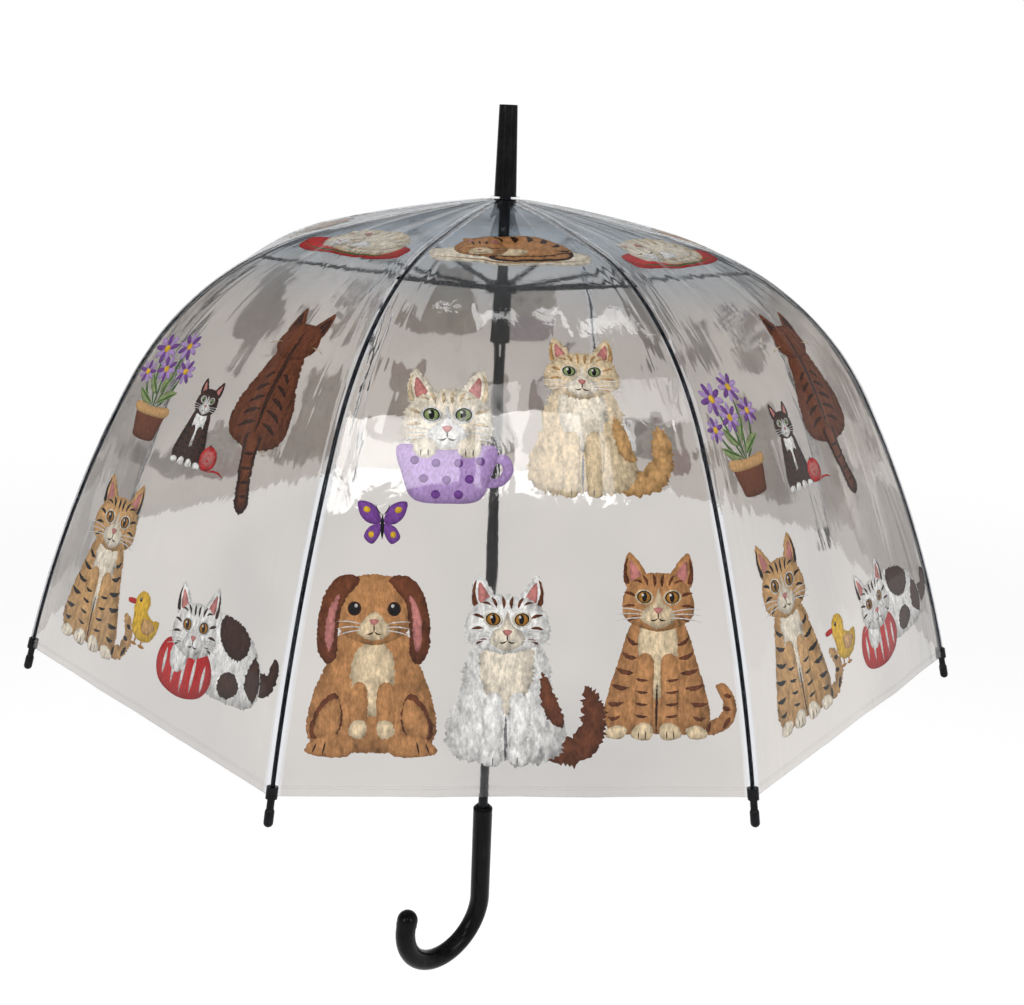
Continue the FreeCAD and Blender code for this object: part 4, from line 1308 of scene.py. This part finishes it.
def pale_floor():
    """White floor: matt for light that bounces, and shown white right out to the horizon."""
    material, nodes, links, surface = new_material("pale_floor")
    nodes.remove(surface)
    path = nodes.new("ShaderNodeLightPath")
    seen = add(nodes, "ShaderNodeMath", operation="MAXIMUM")
    glossy = add(nodes, "ShaderNodeMath", operation="MAXIMUM")
    place = nodes.new("ShaderNodeTexCoord")
    away = add(nodes, "ShaderNodeVectorMath", operation="LENGTH")
    far = add(
        nodes, "ShaderNodeMapRange", interpolation_type="SMOOTHSTEP", From_Min=0.9, From_Max=2.6
    )
    matt = add(nodes, "ShaderNodeBsdfDiffuse", Color=(0.80, 0.80, 0.80, 1.0))
    pale = add(nodes, "ShaderNodeBsdfDiffuse", Color=(0.40, 0.40, 0.40, 1.0))
    glow = add(nodes, "ShaderNodeEmission", Strength=0.76)
    white = nodes.new("ShaderNodeEmission")
    near = nodes.new("ShaderNodeAddShader")
    sweep, choose = nodes.new("ShaderNodeMixShader"), nodes.new("ShaderNodeMixShader")
    wire(
        links,
        (path, "Is Camera Ray", seen, 0), (path, "Is Transmission Ray", seen, 1),
        (seen, "Value", glossy, 0), (path, "Is Glossy Ray", glossy, 1),
        (place, "Object", away, 0), (away, "Value", far, "Value"),
        (pale, "BSDF", near, 0), (glow, "Emission", near, 1),
        (far, "Result", sweep, "Fac"), (near, "Shader", sweep, 1),
        (white, "Emission", sweep, 2), (glossy, "Value", choose, "Fac"),
        (matt, "BSDF", choose, 1), (sweep, "Shader", choose, 2),
        (choose, "Shader", nodes["Material Output"], "Surface"),
    )
    return material


FLOOR_GAP = 0.05
FLOOR_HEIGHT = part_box("handle")[0][2] - FLOOR_GAP
FLOOR_HALF = 12.0
floor_corners = [
    (x * FLOOR_HALF, y * FLOOR_HALF, FLOOR_HEIGHT) for x, y in ((-1, -1), (1, -1), (1, 1), (-1, 1))
]
floor = new_piece("floor", floor_corners, [(0, 1, 2, 3)], pale_floor(), smooth=False)

# Seen directly, the surround is white. Mirrored in the film, it grows dimmer overhead.
world = bpy.data.worlds.new("studio")
bpy.context.scene.world = world
world.use_nodes = True
nodes = world.node_tree.nodes
surround = tune(nodes["Background"], Color=(1.0, 1.0, 1.0, 1.0))
path = nodes.new("ShaderNodeLightPath")
direct = add(nodes, "ShaderNodeMath", operation="MAXIMUM")
bearing = nodes.new("ShaderNodeTexCoord")
aloft = nodes.new("ShaderNodeSeparateXYZ")
dusk = add(
    nodes, "ShaderNodeMapRange", interpolation_type="SMOOTHSTEP",
    From_Min=0.10, From_Max=0.55, To_Min=0.68, To_Max=0.24
)
level = add(nodes, "ShaderNodeMix", B=1.0)
wire(
    world.node_tree.links,
    (path, "Is Camera Ray", direct, 0), (path, "Is Transmission Ray", direct, 1),
    (bearing, "Generated", aloft, "Vector"), (aloft, "Z", dusk, "Value"),
    (direct, "Value", level, "Factor"), (dusk, "Result", level, "A"),
    (level, "Result", surround, "Strength"),
)

LAMP_TARGET = Vector((0.0, -0.35, 0.45))
LAMP_DISTANCE = 2.6


def soft_lamp(name, azimuth, elevation, width, height, power):
    """A soft box that faces the umbrella from a bearing and a height, in degrees."""
    data = bpy.data.lights.new(name, "AREA")
    data.shape = "RECTANGLE"
    data.size, data.size_y, data.energy = width, height, power
    around, up = math.radians(azimuth), math.radians(elevation)
    way = Vector((
        math.cos(around) * math.cos(up), math.sin(around) * math.cos(up), math.sin(up)
    ))
    lamp = in_scene(name, data)
    lamp.location = LAMP_TARGET + way * LAMP_DISTANCE
    lamp.rotation_euler = way.to_track_quat("Z", "Y").to_euler()


soft_lamp("key_softbox", -91, 45, 0.92, 0.80, 19)
soft_lamp("side_softbox", -72, 60, 0.45, 0.70, 3)
soft_lamp("top_strip", 42, 80, 0.70, 0.20, 2)
soft_lamp("left_fill", -138, 25, 1.2, 1.2, 27)
soft_lamp("right_fill", -38, 25, 1.2, 1.2, 23)

# The camera looks a little down on the dome, from the side of the front gore.
CAMERA_PLACE = (0.0110, -1.0559, 0.7255)
CAMERA_TURN = -3.80
CAMERA_YAW = -0.34
CAMERA_DIP = 17.62
CAMERA_ROLL = 2.38
CAMERA_LENS = 40.44
camera = in_scene("camera", bpy.data.cameras.new("camera"))
camera.data.sensor_width = 36.0
camera.data.lens = CAMERA_LENS
turn = Matrix.Rotation(math.radians(CAMERA_TURN), 4, "Z")
pan = Matrix.Rotation(math.radians(CAMERA_TURN + CAMERA_YAW), 4, "Z")
tilt = Matrix.Rotation(math.radians(90.0 - CAMERA_DIP), 4, "X")
roll = Matrix.Rotation(math.radians(CAMERA_ROLL), 4, "Z")
place = Matrix.Translation(turn @ Vector(CAMERA_PLACE))
camera.matrix_world = place @ pan @ tilt @ roll
bpy.context.scene.camera = camera
bpy.context.scene.view_settings.view_transform = "Standard"
